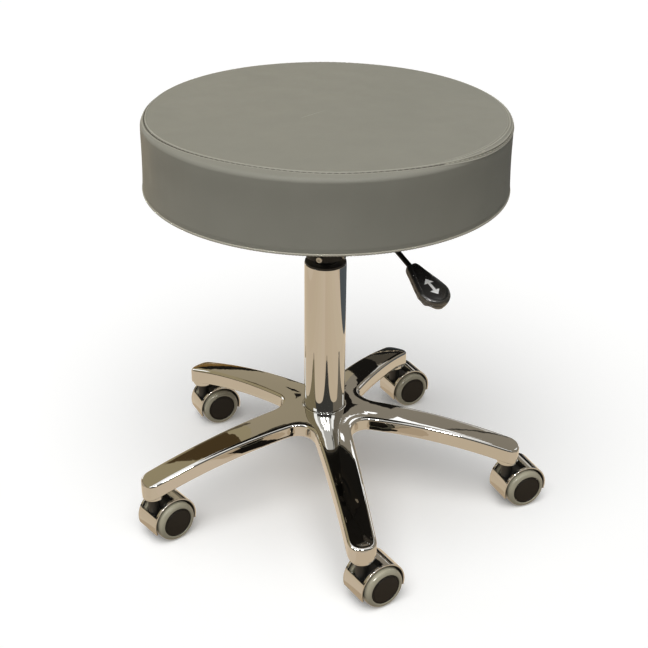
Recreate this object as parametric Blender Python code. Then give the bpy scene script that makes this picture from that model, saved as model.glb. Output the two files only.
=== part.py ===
# Medical rolling stool: a round padded seat on a gas lift, over a chromed
# five-arm base on twin-wheel casters. Units are metres and +Z is up. The
# origin is on the column's axis, on the floor.

import math

import bmesh
import bpy
from mathutils import Matrix, Vector

# Clearances
GAP = 0.0003
RUNNING_GAP = 0.0004
MERGE = 0.000001

# Facets round a turned piece; 30 degree turns keep every fit in step
SEAT_FACETS = 36
ROUND_FACETS = 24
PIN_FACETS = 12

# Casters
WHEEL_RADIUS = 0.025
WHEEL_FACE = 0.0241
HUB_RADIUS = 0.0182
HUB_INNER_FACE = 0.0086
TYRE_INNER_FACE = 0.011
TYRE_SHOULDER = 0.0045
AXLE_RADIUS = 0.003
AXLE_HALF_LENGTH = 0.0195
CASTER_TRAIL = 0.0175
HOOD_RADIUS = 0.0295
HOOD_THICKNESS = 0.0018
HOOD_HALF_LENGTH = 0.018
HOOD_RIM = 0.002
HOOD_BACK_END = math.radians(-12.0)
HOOD_FRONT_END = math.radians(195.0)
WINDOW_TOP = math.radians(88.0)
WINDOW_BOTTOM = math.radians(153.0)
HOOD_HEADROOM = 0.0085
CORE_HALF_WIDTH = 0.0076
CORE_WINDOW_RADIUS = 0.020
CORE_FOOT_RADIUS = 0.011
NECK_RADIUS = 0.007
STEM_RADIUS = 0.0048
STEM_DEPTH_IN_CORE = 0.024
STEM_DEPTH_IN_BOSS = 0.0155
STEM_COLLAR_RADIUS = 0.008
STEM_COLLAR_HEIGHT = 0.0024
CASTER_HEADINGS = [math.radians(angle) for angle in (23.4, 28.0, 26.4, 40.2, 32.8)]

# Five-arm base
ARM_COUNT = 5
FIRST_ARM_ANGLE = math.radians(-7.4)
BASE_REACH = 0.244
STEM_SETBACK = 0.0127
BOSS_RADIUS = 0.012
TIP_DEPTH = 0.0185
TIP_LENGTH = 0.016
TIP_SQUARENESS = 2.7
ARM_RISE = 0.0409
ARM_CROWN = 0.0027
ARM_ROOT_CROWN = 0.0011
ARM_ROOT_SKIRT = 0.0158
ARM_TIP_SKIRT = 0.0204
ARM_ROOT_HALF_WIDTH = 0.0219
ARM_TIP_HALF_WIDTH = 0.0167
ARM_FLARE = 1.3
ARM_VALLEY_RADIUS = 0.0235
ARM_EDGE_RADIUS = 0.0036
ARM_WALL = 0.003
HUB_WALL = 0.006
HUB_LIP = 0.0016
HUB_COLLAR_HEIGHT = 0.0009
HUB_COLLAR_SPREAD = 0.006
HUB_DEPTH = 0.0341

# Column and gas lift
COLUMN_RADIUS = 0.025
COLUMN_WALL = 0.002
COLUMN_TAPER = 0.0018
COLUMN_EXPOSED = 0.1949
COLUMN_FLOOR = 0.0035
BUSH_FLANGE = 0.0022
BUSH_LIP = 0.0004
CYLINDER_RADIUS = 0.014
CYLINDER_WALL = 0.0025
CYLINDER_TAPER = 0.0009
CYLINDER_END = 0.010
CYLINDER_BUMP_SPACE = 0.018
LIFT_STROKE = 0.130
ROD_RADIUS = 0.005
ROD_SHOULDER_RADIUS = 0.008
ROD_SHOULDER_HEIGHT = 0.0042
ROD_TAIL = 0.005
PISTON_HEIGHT = 0.010
PISTON_HEADROOM = 0.018
BEARING_RADIUS = 0.015
BEARING_HEIGHT = 0.0047
CLIP_RADIUS = 0.009
CLIP_HEIGHT = 0.0015
BUTTON_RADIUS = 0.003
BUTTON_STANDOUT = 0.0047
BUTTON_DEPTH = 0.008

# Seat plate and lever
SOCKET_HEADROOM = 0.007
SOCKET_RADIUS = 0.024
SOCKET_DEPTH = 0.0818
PLATE_SIDE = 0.160
PLATE_CORNER = 0.014
PLATE_THICKNESS = 0.003
BOLT_SPACING = 0.125
BOLT_RADIUS = 0.003
BOLT_HEAD_RADIUS = 0.0062
BOLT_HEAD_HEIGHT = 0.004
BOLT_DEPTH_IN_BOARD = 0.010
LEVER_ANGLE = math.radians(-52.0)
LEVER_BELOW_PLATE = 0.0186
LEVER_ROD_RADIUS = 0.004
LEVER_PIVOT_RADIUS = 0.0195
LEVER_INNER_END = 0.001
LEVER_STRAIGHT = 0.096
LEVER_BEND_RADIUS = 0.030
LEVER_DROOP = math.radians(23.5)
LEVER_SLOPE_LENGTH = 0.043
LEVER_PIN_RADIUS = 0.0022
SLOT_SIDE_PLAY = 0.0006
SLOT_SWING_PLAY = 0.0015
GRIP_LENGTH = 0.066
GRIP_HALF_WIDTH = 0.020
GRIP_ROOT_HALF_WIDTH = 0.0072
GRIP_WIDEST = 0.044
GRIP_ABOVE_ROD = 0.006
GRIP_BELOW_ROD = 0.0066
GRIP_BEVEL = 0.0026
GRIP_SOCKET_DEPTH = 0.020

# Seat
SEAT_TOP_RADIUS = 0.2032
SEAT_BOTTOM_RADIUS = 0.2064
SEAT_THICKNESS = 0.0915
SEAT_CROWN = 0.0022
SEAT_EDGE_ROLL = 0.006
SEAT_BOTTOM_ROLL = 0.007
SEAT_WAIST = 0.0008
SEAM_WIDTH = 0.0034
SEAM_DEPTH = 0.0007
COVER_THICKNESS = 0.0012
COVER_WRAP = 0.040
BOARD_THICKNESS = 0.012
DUST_COVER_THICKNESS = 0.0008
DUST_COVER_MARGIN = 0.022

# Heights, from the floor up
AXLE_Z = WHEEL_RADIUS
BOSS_BOTTOM_Z = AXLE_Z + HOOD_RADIUS + HOOD_HEADROOM
STEM_TOP_Z = BOSS_BOTTOM_Z + STEM_DEPTH_IN_BOSS
NECK_TOP_Z = BOSS_BOTTOM_Z - STEM_COLLAR_HEIGHT - 2 * GAP
STEM_BOTTOM_Z = NECK_TOP_Z - STEM_DEPTH_IN_CORE
TIP_TOP_Z = BOSS_BOTTOM_Z + TIP_DEPTH
HUB_TOP_Z = TIP_TOP_Z + ARM_RISE
HUB_BOTTOM_Z = HUB_TOP_Z - HUB_DEPTH
COLUMN_TOP_Z = HUB_TOP_Z + COLUMN_EXPOSED
COLUMN_FLOOR_Z = HUB_BOTTOM_Z + COLUMN_FLOOR
BEARING_TOP_Z = COLUMN_FLOOR_Z + GAP + BEARING_HEIGHT
SHOULDER_TOP_Z = BEARING_TOP_Z + GAP + ROD_SHOULDER_HEIGHT
CYLINDER_BOTTOM_Z = SHOULDER_TOP_Z + CYLINDER_BUMP_SPACE
BUSH_BOTTOM_Z = CYLINDER_BOTTOM_Z + LIFT_STROKE
BUSH_TOP_Z = COLUMN_TOP_Z + GAP + BUSH_FLANGE
SOCKET_BOTTOM_Z = BUSH_TOP_Z + SOCKET_HEADROOM
PLATE_BOTTOM_Z = SOCKET_BOTTOM_Z + SOCKET_DEPTH
PLATE_TOP_Z = PLATE_BOTTOM_Z + PLATE_THICKNESS
LEVER_Z = PLATE_BOTTOM_Z - LEVER_BELOW_PLATE
BUTTON_TOP_Z = LEVER_Z - LEVER_ROD_RADIUS - GAP
CYLINDER_TOP_Z = BUTTON_TOP_Z - BUTTON_STANDOUT
DUST_COVER_Z = PLATE_TOP_Z + GAP
SEAT_BOTTOM_Z = DUST_COVER_Z + DUST_COVER_THICKNESS + GAP
BOARD_BOTTOM_Z = SEAT_BOTTOM_Z + COVER_THICKNESS + GAP
BOARD_TOP_Z = BOARD_BOTTOM_Z + BOARD_THICKNESS
SEAT_TOP_Z = SEAT_BOTTOM_Z + SEAT_THICKNESS

# Plan places
STEM_CIRCLE = BASE_REACH - STEM_SETBACK
HUB_OUTER_RADIUS = COLUMN_RADIUS + HUB_WALL
BOARD_RADIUS = SEAT_BOTTOM_RADIUS - SEAT_BOTTOM_ROLL - COVER_THICKNESS - GAP
BOLT_PLACES = [(x * BOLT_SPACING / 2, y * BOLT_SPACING / 2) for x in (-1, 1) for y in (-1, 1)]


def finish(name, colour, roughness, metallic=0.0):
    material = bpy.data.materials.new(name)
    material.use_nodes = True
    shader = material.node_tree.nodes["Principled BSDF"]
    shader.inputs["Base Color"].default_value = (*colour, 1.0)
    shader.inputs["Roughness"].default_value = roughness
    shader.inputs["Metallic"].default_value = metallic
    return material


def solid_mesh(bm):
    bmesh.ops.remove_doubles(bm, verts=bm.verts, dist=MERGE)
    bmesh.ops.recalc_face_normals(bm, faces=bm.faces)
    mesh = bpy.data.meshes.new("solid")
    bm.to_mesh(mesh)
    bm.free()
    return mesh


def moved(mesh, matrix):
    mesh.transform(matrix)
    return mesh


def turned(profile, facets, ring=False):
    # (radius, height) points turned round Z; a ring's profile is a closed loop off the axis
    bm = bmesh.new()
    verts = [bm.verts.new((radius, 0.0, height)) for radius, height in profile]
    pairs = list(zip(verts, verts[1:]))
    if ring:
        pairs.append((verts[-1], verts[0]))
    edges = [bm.edges.new(pair) for pair in pairs]
    bmesh.ops.spin(bm, geom=verts + edges, cent=(0, 0, 0), axis=(0, 0, 1),
                   angle=2 * math.pi, steps=facets, use_merge=True)
    return solid_mesh(bm)


def prism(outline, low, high):
    bm = bmesh.new()
    floor = bm.faces.new([bm.verts.new((x, y, low)) for x, y in outline])
    raised = bmesh.ops.extrude_face_region(bm, geom=[floor])
    top = [item for item in raised["geom"] if isinstance(item, bmesh.types.BMVert)]
    bmesh.ops.translate(bm, verts=top, vec=(0, 0, high - low))
    return solid_mesh(bm)


def cylinder(radius, low, high, facets):
    angles = [2 * math.pi * step / facets for step in range(facets)]
    return prism([(radius * math.cos(angle), radius * math.sin(angle)) for angle in angles], low, high)


def rod(path, radius, facets):
    # A round bar along a path in the XZ plane
    bm = bmesh.new()
    rings = []
    for index, point in enumerate(path):
        before = path[max(index - 1, 0)]
        after = path[min(index + 1, len(path) - 1)]
        along = (Vector(after) - Vector(before)).normalized()
        across = Vector((-along.z, 0, along.x))
        ring = []
        for step in range(facets):
            angle = 2 * math.pi * step / facets
            offset = across * math.cos(angle) + Vector((0, 1, 0)) * math.sin(angle)
            ring.append(bm.verts.new(Vector(point) + offset * radius))
        rings.append(ring)
    for low, high in zip(rings, rings[1:]):
        for step in range(facets):
            following = (step + 1) % facets
            bm.faces.new((low[step], low[following], high[following], high[step]))
    bm.faces.new(rings[0])
    bm.faces.new(rings[-1])
    return solid_mesh(bm)


def combined(mesh, joins=(), cuts=()):
    # The mesh with the joins united to it and the cuts taken out
    scene_objects = bpy.context.scene.collection.objects
    body = bpy.data.objects.new("body", mesh)
    scene_objects.link(body)
    tools = []
    for operation, shapes in (("UNION", joins), ("DIFFERENCE", cuts)):
        for shape in shapes:
            tool = bpy.data.objects.new("tool", shape)
            scene_objects.link(tool)
            tools.append(tool)
            modifier = body.modifiers.new(operation, "BOOLEAN")
            modifier.operation = operation
            modifier.solver = "EXACT"
            modifier.object = tool
    graph = bpy.context.evaluated_depsgraph_get()
    result = bpy.data.meshes.new_from_object(body.evaluated_get(graph))
    for item in tools + [body]:
        bpy.data.objects.remove(item)
    return result


def place(name, mesh, material, parent=None, location=(0, 0, 0), turn=0.0):
    mesh.shade_smooth()
    mesh.set_sharp_from_angle(angle=math.radians(35))
    mesh.materials.clear()
    mesh.materials.append(material)
    item = bpy.data.objects.new(name, mesh)
    item.location = location
    item.rotation_euler = (0, 0, turn)
    item.parent = parent
    bpy.context.scene.collection.objects.link(item)
    return item


def pivot(name, location, turn=0.0, parent=None):
    empty = bpy.data.objects.new(name, None)
    empty.location = location
    empty.rotation_euler = (0, 0, turn)
    empty.parent = parent
    bpy.context.scene.collection.objects.link(empty)
    return empty


def spread(start, end, steps):
    return [start + (end - start) * step / steps for step in range(steps + 1)]


# Five-arm base
def arm_top(radius):
    # The edges of the arms' tops fall away from the hub in one curve
    return HUB_TOP_Z - ARM_RISE * (radius / BASE_REACH) ** 2


def arm_ridge(radius):
    # The middle line of an arm's top is crowned, and less so at the hub
    share = min((radius - HUB_OUTER_RADIUS) / (2 * HUB_OUTER_RADIUS), 1.0)
    return arm_top(radius) + ARM_ROOT_CROWN + (ARM_CROWN - ARM_ROOT_CROWN) * max(share, 0.0)


def arm_foot(radius):
    # The skirt under the arms' edges grows deeper to the tip
    return arm_top(radius) - ARM_ROOT_SKIRT - (ARM_TIP_SKIRT - ARM_ROOT_SKIRT) * radius / BASE_REACH


VALLEY_STEPS = 3
SIDE_STEPS = 4
TIP_STEPS = 4


def half_arm(inset):
    # Half an arm's plan from the valley beside it to the tip, moved in by the inset
    half_pitch = math.pi / ARM_COUNT
    centre_radius = (ARM_ROOT_HALF_WIDTH + ARM_VALLEY_RADIUS) / math.sin(half_pitch)
    centre_x = centre_radius * math.cos(half_pitch)
    centre_y = centre_radius * math.sin(half_pitch)
    valley_radius = ARM_VALLEY_RADIUS + inset
    points = []
    for angle in spread(math.pi + half_pitch, 1.5 * math.pi, VALLEY_STEPS):
        points.append((centre_x + valley_radius * math.cos(angle),
                       centre_y + valley_radius * math.sin(angle)))
    tip_x = BASE_REACH - TIP_LENGTH
    flare = ARM_ROOT_HALF_WIDTH - ARM_TIP_HALF_WIDTH
    for share in spread(0, 1, SIDE_STEPS)[1:]:
        half_width = ARM_TIP_HALF_WIDTH + flare * (1 - share) ** ARM_FLARE
        points.append((centre_x + (tip_x - centre_x) * share, half_width - inset))
    for angle in spread(0, math.pi / 2, TIP_STEPS)[1:-1]:
        points.append((tip_x + (TIP_LENGTH - inset) * math.sin(angle) ** (2 / TIP_SQUARENESS),
                       (ARM_TIP_HALF_WIDTH - inset) * math.cos(angle) ** (2 / TIP_SQUARENESS)))
    points.append((BASE_REACH - inset, 0.0))
    return points


def half_spine(hub_radius, inset):
    # The inner edge that a half arm's plan closes on: the hub's circle, then the arm's middle line
    half_pitch = math.pi / ARM_COUNT
    points = []
    for angle in spread(half_pitch, 0.0, VALLEY_STEPS):
        points.append((hub_radius * math.cos(angle), hub_radius * math.sin(angle)))
    outline = half_arm(inset)
    start = outline[VALLEY_STEPS][0]
    end = BASE_REACH - inset
    for x, _ in outline[VALLEY_STEPS + 1:]:
        share = (x - start) / (end - start)
        points.append((hub_radius + (end - ARM_TIP_HALF_WIDTH / 2 - hub_radius) * share, 0.0))
    return points


def star_ring(half, height):
    # The closed ring of a half plan, mirrored and repeated for every arm; height is a function of radius
    ring = []
    for arm in range(ARM_COUNT):
        turn = Matrix.Rotation(FIRST_ARM_ANGLE + 2 * math.pi * arm / ARM_COUNT, 3, "Z")
        plan = [(x, -y) for x, y in half] + list(reversed(half))[1:-1]
        for x, y in plan:
            ring.append(turn @ Vector((x, y, height(math.hypot(x, y)))))
    return ring


def hub_ring(radius, height):
    half_pitch = math.pi / ARM_COUNT
    half = [(radius * math.cos(angle), radius * math.sin(angle))
            for angle in spread(half_pitch, 0.0, VALLEY_STEPS)]
    return star_ring(half, lambda _: height)


def skin(bm, rings):
    # Faces between each ring and the next
    loops = [[bm.verts.new(point) for point in ring] for ring in rings]
    for low, high in zip(loops, loops[1:]):
        count = len(low)
        for step in range(count):
            following = (step + 1) % count
            bm.faces.new((low[step], low[following], high[following], high[step]))


def arm_places():
    for arm in range(ARM_COUNT):
        angle = FIRST_ARM_ANGLE + 2 * math.pi * arm / ARM_COUNT
        yield Vector((STEM_CIRCLE * math.cos(angle), STEM_CIRCLE * math.sin(angle), 0))


def boss(centre):
    # A post under the arm's tip, its top following the arm inside the arm's own thickness
    post = cylinder(BOSS_RADIUS, BOSS_BOTTOM_Z, TIP_TOP_Z, ROUND_FACETS)
    moved(post, Matrix.Translation(centre))
    for vertex in post.vertices:
        if vertex.co.z > (BOSS_BOTTOM_Z + TIP_TOP_Z) / 2:
            radius = min(vertex.co.xy.length, BASE_REACH)
            vertex.co.z = arm_top(radius) - ARM_WALL / 2 - ARM_EDGE_RADIUS / 4
    return post


def make_star_base(material):
    bevel_rise = ARM_EDGE_RADIUS * (1 - math.sqrt(0.5))
    collar_top = HUB_TOP_Z + HUB_COLLAR_HEIGHT
    collar_foot = COLUMN_RADIUS + HUB_COLLAR_SPREAD
    bore_radius = COLUMN_RADIUS + GAP
    bore_foot_radius = bore_radius - COLUMN_TAPER

    def lowered(drop):
        return lambda radius: arm_top(radius) - drop

    def shoulder(radius):
        return (arm_top(radius) + 3 * arm_ridge(radius)) / 4

    spine = half_spine(collar_foot, ARM_EDGE_RADIUS)
    edge = half_arm(ARM_EDGE_RADIUS)
    midway = [((inner[0] + outer[0]) / 2, (inner[1] + outer[1]) / 2) for inner, outer in zip(spine, edge)]
    bm = bmesh.new()
    skin(bm, [
        star_ring(spine, arm_ridge),
        star_ring(midway, shoulder),
        star_ring(edge, arm_top),
        star_ring(half_arm(bevel_rise), lowered(bevel_rise)),
        star_ring(half_arm(0.0), lowered(ARM_EDGE_RADIUS)),
        star_ring(half_arm(0.0), arm_foot),
        star_ring(half_arm(ARM_WALL), arm_foot),
        star_ring(half_arm(ARM_WALL), lowered(ARM_WALL + bevel_rise)),
        star_ring(half_spine(HUB_OUTER_RADIUS, ARM_WALL), lowered(ARM_WALL + bevel_rise)),
    ])
    skin(bm, [
        hub_ring(collar_foot, arm_ridge(collar_foot)),
        hub_ring(bore_radius + HUB_LIP, arm_ridge(bore_radius + HUB_LIP)),
        hub_ring(bore_radius + HUB_LIP / 2, collar_top),
        hub_ring(bore_radius, collar_top),
        hub_ring(bore_radius, HUB_TOP_Z),
        hub_ring(bore_foot_radius, HUB_BOTTOM_Z),
        hub_ring(HUB_OUTER_RADIUS, HUB_BOTTOM_Z),
        hub_ring(HUB_OUTER_RADIUS, arm_top(HUB_OUTER_RADIUS) - ARM_WALL - bevel_rise),
    ])
    shell = solid_mesh(bm)
    bores = []
    for centre in arm_places():
        bore = cylinder(STEM_RADIUS + GAP, BOSS_BOTTOM_Z - ARM_WALL, STEM_TOP_Z + GAP, PIN_FACETS)
        bores.append(moved(bore, Matrix.Translation(centre)))
    bosses = [boss(centre) for centre in arm_places()]
    place("star_base", combined(shell, bosses, bores), material)


# Column and gas lift
def make_column(chrome, plastic, steel):
    floor_hole = ROD_RADIUS + 2 * RUNNING_GAP
    inner = COLUMN_RADIUS - COLUMN_WALL
    inner_foot = inner - COLUMN_TAPER
    place("column_tube", turned([
        (floor_hole, HUB_BOTTOM_Z), (COLUMN_RADIUS - COLUMN_TAPER, HUB_BOTTOM_Z),
        (COLUMN_RADIUS, HUB_TOP_Z), (COLUMN_RADIUS, COLUMN_TOP_Z), (inner, COLUMN_TOP_Z),
        (inner, HUB_TOP_Z), (inner_foot, COLUMN_FLOOR_Z), (floor_hole, COLUMN_FLOOR_Z),
    ], ROUND_FACETS, ring=True), chrome)

    bore = CYLINDER_RADIUS + RUNNING_GAP
    sleeve = inner - GAP
    flange = COLUMN_RADIUS - BUSH_LIP
    flange_bottom = COLUMN_TOP_Z + GAP
    place("guide_bush", turned([
        (bore, BUSH_BOTTOM_Z), (sleeve, BUSH_BOTTOM_Z), (sleeve, flange_bottom),
        (flange, flange_bottom), (flange, BUSH_TOP_Z), (bore, BUSH_TOP_Z),
    ], ROUND_FACETS, ring=True), plastic)

    bearing_bore = ROD_RADIUS + RUNNING_GAP
    bearing_bottom = COLUMN_FLOOR_Z + GAP
    place("thrust_bearing", turned([
        (bearing_bore, bearing_bottom), (BEARING_RADIUS, bearing_bottom),
        (BEARING_RADIUS, BEARING_TOP_Z), (bearing_bore, BEARING_TOP_Z),
    ], ROUND_FACETS, ring=True), steel)

    clip_top = HUB_BOTTOM_Z - GAP
    clip_bottom = clip_top - CLIP_HEIGHT
    clip_bore = ROD_RADIUS + GAP
    place("retaining_clip", turned([
        (clip_bore, clip_bottom), (CLIP_RADIUS, clip_bottom), (CLIP_RADIUS, clip_top), (clip_bore, clip_top),
    ], PIN_FACETS, ring=True), steel)


def make_gas_lift(rod_steel, cylinder_steel, button_steel):
    bore = CYLINDER_RADIUS - CYLINDER_WALL
    bore_bottom = CYLINDER_BOTTOM_Z + CYLINDER_END
    bore_top = CYLINDER_TOP_Z - CYLINDER_END
    gland = ROD_RADIUS + RUNNING_GAP
    valve_hole = BUTTON_RADIUS + RUNNING_GAP
    place("gas_cylinder", turned([
        (valve_hole, CYLINDER_TOP_Z), (CYLINDER_RADIUS - CYLINDER_TAPER, CYLINDER_TOP_Z),
        (CYLINDER_RADIUS, SOCKET_BOTTOM_Z), (CYLINDER_RADIUS, CYLINDER_BOTTOM_Z),
        (gland, CYLINDER_BOTTOM_Z), (gland, bore_bottom), (bore, bore_bottom), (bore, bore_top),
        (valve_hole, bore_top),
    ], ROUND_FACETS, ring=True), cylinder_steel)

    piston_top = bore_top - PISTON_HEADROOM
    piston_bottom = piston_top - PISTON_HEIGHT
    piston_radius = bore - RUNNING_GAP
    shoulder_bottom = BEARING_TOP_Z + GAP
    tail_bottom = HUB_BOTTOM_Z - ROD_TAIL
    place("piston_rod", turned([
        (0, piston_top), (piston_radius, piston_top), (piston_radius, piston_bottom),
        (ROD_RADIUS, piston_bottom), (ROD_RADIUS, SHOULDER_TOP_Z), (ROD_SHOULDER_RADIUS, SHOULDER_TOP_Z),
        (ROD_SHOULDER_RADIUS, shoulder_bottom), (ROD_RADIUS, shoulder_bottom), (ROD_RADIUS, tail_bottom),
        (0, tail_bottom),
    ], ROUND_FACETS), rod_steel)

    button = cylinder(BUTTON_RADIUS, -BUTTON_STANDOUT - BUTTON_DEPTH, 0.0, PIN_FACETS)
    place("valve_button", button, button_steel, location=(0, 0, BUTTON_TOP_Z))


# Seat plate, its bolts and the lever
def rounded_square(side, corner, steps):
    inner = side / 2 - corner
    points = []
    for quarter in range(4):
        start = quarter * math.pi / 2
        corner_angle = start + math.pi / 4
        centre_x = inner * math.copysign(1, math.cos(corner_angle))
        centre_y = inner * math.copysign(1, math.sin(corner_angle))
        for angle in spread(start, start + math.pi / 2, steps):
            points.append((centre_x + corner * math.cos(angle), centre_y + corner * math.sin(angle)))
    return points


def rectangle(low_x, high_x, half_width):
    return [(low_x, -half_width), (high_x, -half_width), (high_x, half_width), (low_x, half_width)]


def cross_pin(radius, half_length, x, z):
    bar = cylinder(radius, -half_length, half_length, PIN_FACETS)
    return moved(bar, Matrix.Translation((x, 0, z)) @ Matrix.Rotation(math.pi / 2, 4, "X"))


def bolt_holes(low, high):
    holes = []
    for x, y in BOLT_PLACES:
        hole = cylinder(BOLT_RADIUS + GAP, low, high, PIN_FACETS)
        holes.append(moved(hole, Matrix.Translation((x, y, 0))))
    return holes


def make_seat_plate(mount, painted, steel):
    plate = prism(rounded_square(PLATE_SIDE, PLATE_CORNER, 3), PLATE_BOTTOM_Z, PLATE_TOP_Z)
    socket_top = PLATE_BOTTOM_Z + PLATE_THICKNESS / 2
    socket = cylinder(SOCKET_RADIUS, SOCKET_BOTTOM_Z, socket_top, ROUND_FACETS)
    bore_mouth = CYLINDER_RADIUS + GAP
    bore_end = bore_mouth - CYLINDER_TAPER
    bore = turned([
        (0, SOCKET_BOTTOM_Z - PLATE_THICKNESS), (bore_mouth, SOCKET_BOTTOM_Z - PLATE_THICKNESS),
        (bore_mouth, SOCKET_BOTTOM_Z), (bore_end, CYLINDER_TOP_Z), (bore_end, PLATE_BOTTOM_Z),
        (0, PLATE_BOTTOM_Z),
    ], ROUND_FACETS)
    slot_half_height = LEVER_ROD_RADIUS + SLOT_SWING_PLAY
    slot = prism(rectangle(0, 2 * SOCKET_RADIUS, LEVER_ROD_RADIUS + SLOT_SIDE_PLAY),
                 LEVER_Z - slot_half_height, LEVER_Z + slot_half_height)
    pin_hole = cross_pin(LEVER_PIN_RADIUS + GAP, SOCKET_RADIUS, LEVER_PIVOT_RADIUS, LEVER_Z)
    holes = bolt_holes(PLATE_BOTTOM_Z - PLATE_THICKNESS, PLATE_TOP_Z + PLATE_THICKNESS)
    place("seat_plate", combined(plate, [socket], [bore, slot, pin_hole] + holes), painted, mount)

    pin_half_length = math.sqrt(SOCKET_RADIUS ** 2 - LEVER_PIVOT_RADIUS ** 2)
    place("lever_pin", cross_pin(LEVER_PIN_RADIUS, pin_half_length, 0, 0), steel, mount,
          (LEVER_PIVOT_RADIUS, 0, LEVER_Z))

    head_top = PLATE_BOTTOM_Z - GAP
    shank_top = BOARD_BOTTOM_Z + BOLT_DEPTH_IN_BOARD
    for number, (x, y) in enumerate(BOLT_PLACES, 1):
        bolt = turned([
            (0, head_top - BOLT_HEAD_HEIGHT), (BOLT_HEAD_RADIUS, head_top - BOLT_HEAD_HEIGHT),
            (BOLT_HEAD_RADIUS, head_top), (BOLT_RADIUS, head_top), (BOLT_RADIUS, shank_top), (0, shank_top),
        ], PIN_FACETS)
        place(f"seat_bolt_{number}", bolt, steel, mount, (x, y, 0))


def lever_path():
    # From the pivot: straight out, round the bend, then down the slope
    points = [(-LEVER_PIVOT_RADIUS - LEVER_INNER_END, 0, 0)]
    bend_x = LEVER_STRAIGHT - LEVER_PIVOT_RADIUS
    for angle in spread(0, LEVER_DROOP, 4):
        points.append((bend_x + LEVER_BEND_RADIUS * math.sin(angle), 0,
                       LEVER_BEND_RADIUS * (math.cos(angle) - 1)))
    bend_end = points[-1]
    slope = LEVER_SLOPE_LENGTH + GRIP_SOCKET_DEPTH
    points.append((bend_end[0] + slope * math.cos(LEVER_DROOP), 0,
                   bend_end[2] - slope * math.sin(LEVER_DROOP)))
    return points


def grip_outline(inset):
    # Teardrop plan: narrow at the rod, widest near the end, closed by half an ellipse
    side = []
    for share in spread(0, 1, 4):
        swell = share * share * (3 - 2 * share)
        width = GRIP_ROOT_HALF_WIDTH + (GRIP_HALF_WIDTH - GRIP_ROOT_HALF_WIDTH) * swell
        side.append((inset + (GRIP_WIDEST - inset) * share, width - inset))
    for angle in spread(0, math.pi / 2, 5)[1:-1]:
        side.append((GRIP_WIDEST + (GRIP_LENGTH - GRIP_WIDEST - inset) * math.sin(angle),
                     (GRIP_HALF_WIDTH - inset) * math.cos(angle)))
    end = [(GRIP_LENGTH - inset, 0.0)]
    return side + end + [(x, -y) for x, y in reversed(side)]


def make_lever(mount, steel, plastic):
    path = lever_path()
    pin_hole = cross_pin(LEVER_PIN_RADIUS + GAP, 2 * LEVER_ROD_RADIUS, 0, 0)
    bar = combined(rod(path, LEVER_ROD_RADIUS, PIN_FACETS), cuts=[pin_hole])
    hinge = pivot("lever_pivot", (LEVER_PIVOT_RADIUS, 0, LEVER_Z), parent=mount)
    place("lever_rod", bar, steel, hinge)

    bm = bmesh.new()
    rings = []
    for inset, height in ((GRIP_BEVEL, GRIP_ABOVE_ROD), (0.0, GRIP_ABOVE_ROD - GRIP_BEVEL),
                          (0.0, GRIP_BEVEL - GRIP_BELOW_ROD), (GRIP_BEVEL, -GRIP_BELOW_ROD)):
        rings.append([(x, y, height) for x, y in grip_outline(inset)])
    skin(bm, rings)
    for ring in (rings[0], rings[-1]):
        bm.faces.new([bm.verts.new(point) for point in ring])
    grip = solid_mesh(bm)
    socket = rod([(-GRIP_SOCKET_DEPTH, 0, 0), (GRIP_SOCKET_DEPTH + GAP, 0, 0)],
                 LEVER_ROD_RADIUS + GAP, PIN_FACETS)
    grip = combined(grip, cuts=[socket])
    end_x, _, end_z = path[-1]
    root = (end_x - GRIP_SOCKET_DEPTH * math.cos(LEVER_DROOP), 0,
            end_z + GRIP_SOCKET_DEPTH * math.sin(LEVER_DROOP))
    moved(grip, Matrix.Translation(root) @ Matrix.Rotation(LEVER_DROOP, 4, "Y"))
    place("lever_grip", grip, plastic, hinge)


# Seat
SIDE_LOW_Z = SEAT_BOTTOM_Z + SEAT_BOTTOM_ROLL
SIDE_HIGH_Z = SEAT_TOP_Z - SEAT_CROWN - SEAT_EDGE_ROLL
SIDE_HEIGHTS = spread(SIDE_HIGH_Z, SIDE_LOW_Z, 4)[1:-1]


def side_radius(height, inset):
    # The side band leans out to the bottom and is drawn in a little at half height
    share = (SIDE_HIGH_Z - height) / (SIDE_HIGH_Z - SIDE_LOW_Z)
    lean = SEAT_TOP_RADIUS + (SEAT_BOTTOM_RADIUS - SEAT_TOP_RADIUS) * share
    return lean - SEAT_WAIST * math.sin(math.pi * share) - inset


def seat_top_profile(inset, seam_depth=0.0):
    # The crowned panel, the sewn groove inside its edge and the rolled edge
    edge_centre = SEAT_TOP_RADIUS - SEAT_EDGE_ROLL
    panel_radius = edge_centre - SEAM_WIDTH
    edge_z = SEAT_TOP_Z - SEAT_CROWN
    points = []
    for radius in spread(0, panel_radius, 3):
        points.append((radius, SEAT_TOP_Z - SEAT_CROWN * (radius / panel_radius) ** 2 - inset))
    if seam_depth:
        points.append((edge_centre - SEAM_WIDTH / 2, edge_z - seam_depth - inset))
    roll = SEAT_EDGE_ROLL - inset
    for angle in spread(math.pi / 2, 0, 3):
        points.append((edge_centre + roll * math.cos(angle), edge_z - SEAT_EDGE_ROLL + roll * math.sin(angle)))
    return points


def seat_side_profile(inset):
    # Down the side band, round the bottom edge and in under the board
    points = [(side_radius(height, inset), height) for height in SIDE_HEIGHTS]
    centre = SEAT_BOTTOM_RADIUS - SEAT_BOTTOM_ROLL
    roll = SEAT_BOTTOM_ROLL - inset
    for angle in spread(0, -math.pi / 2, 3):
        points.append((centre + roll * math.cos(angle), SIDE_LOW_Z + roll * math.sin(angle)))
    points.append((SEAT_BOTTOM_RADIUS - COVER_WRAP, SEAT_BOTTOM_Z + inset))
    return points


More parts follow.
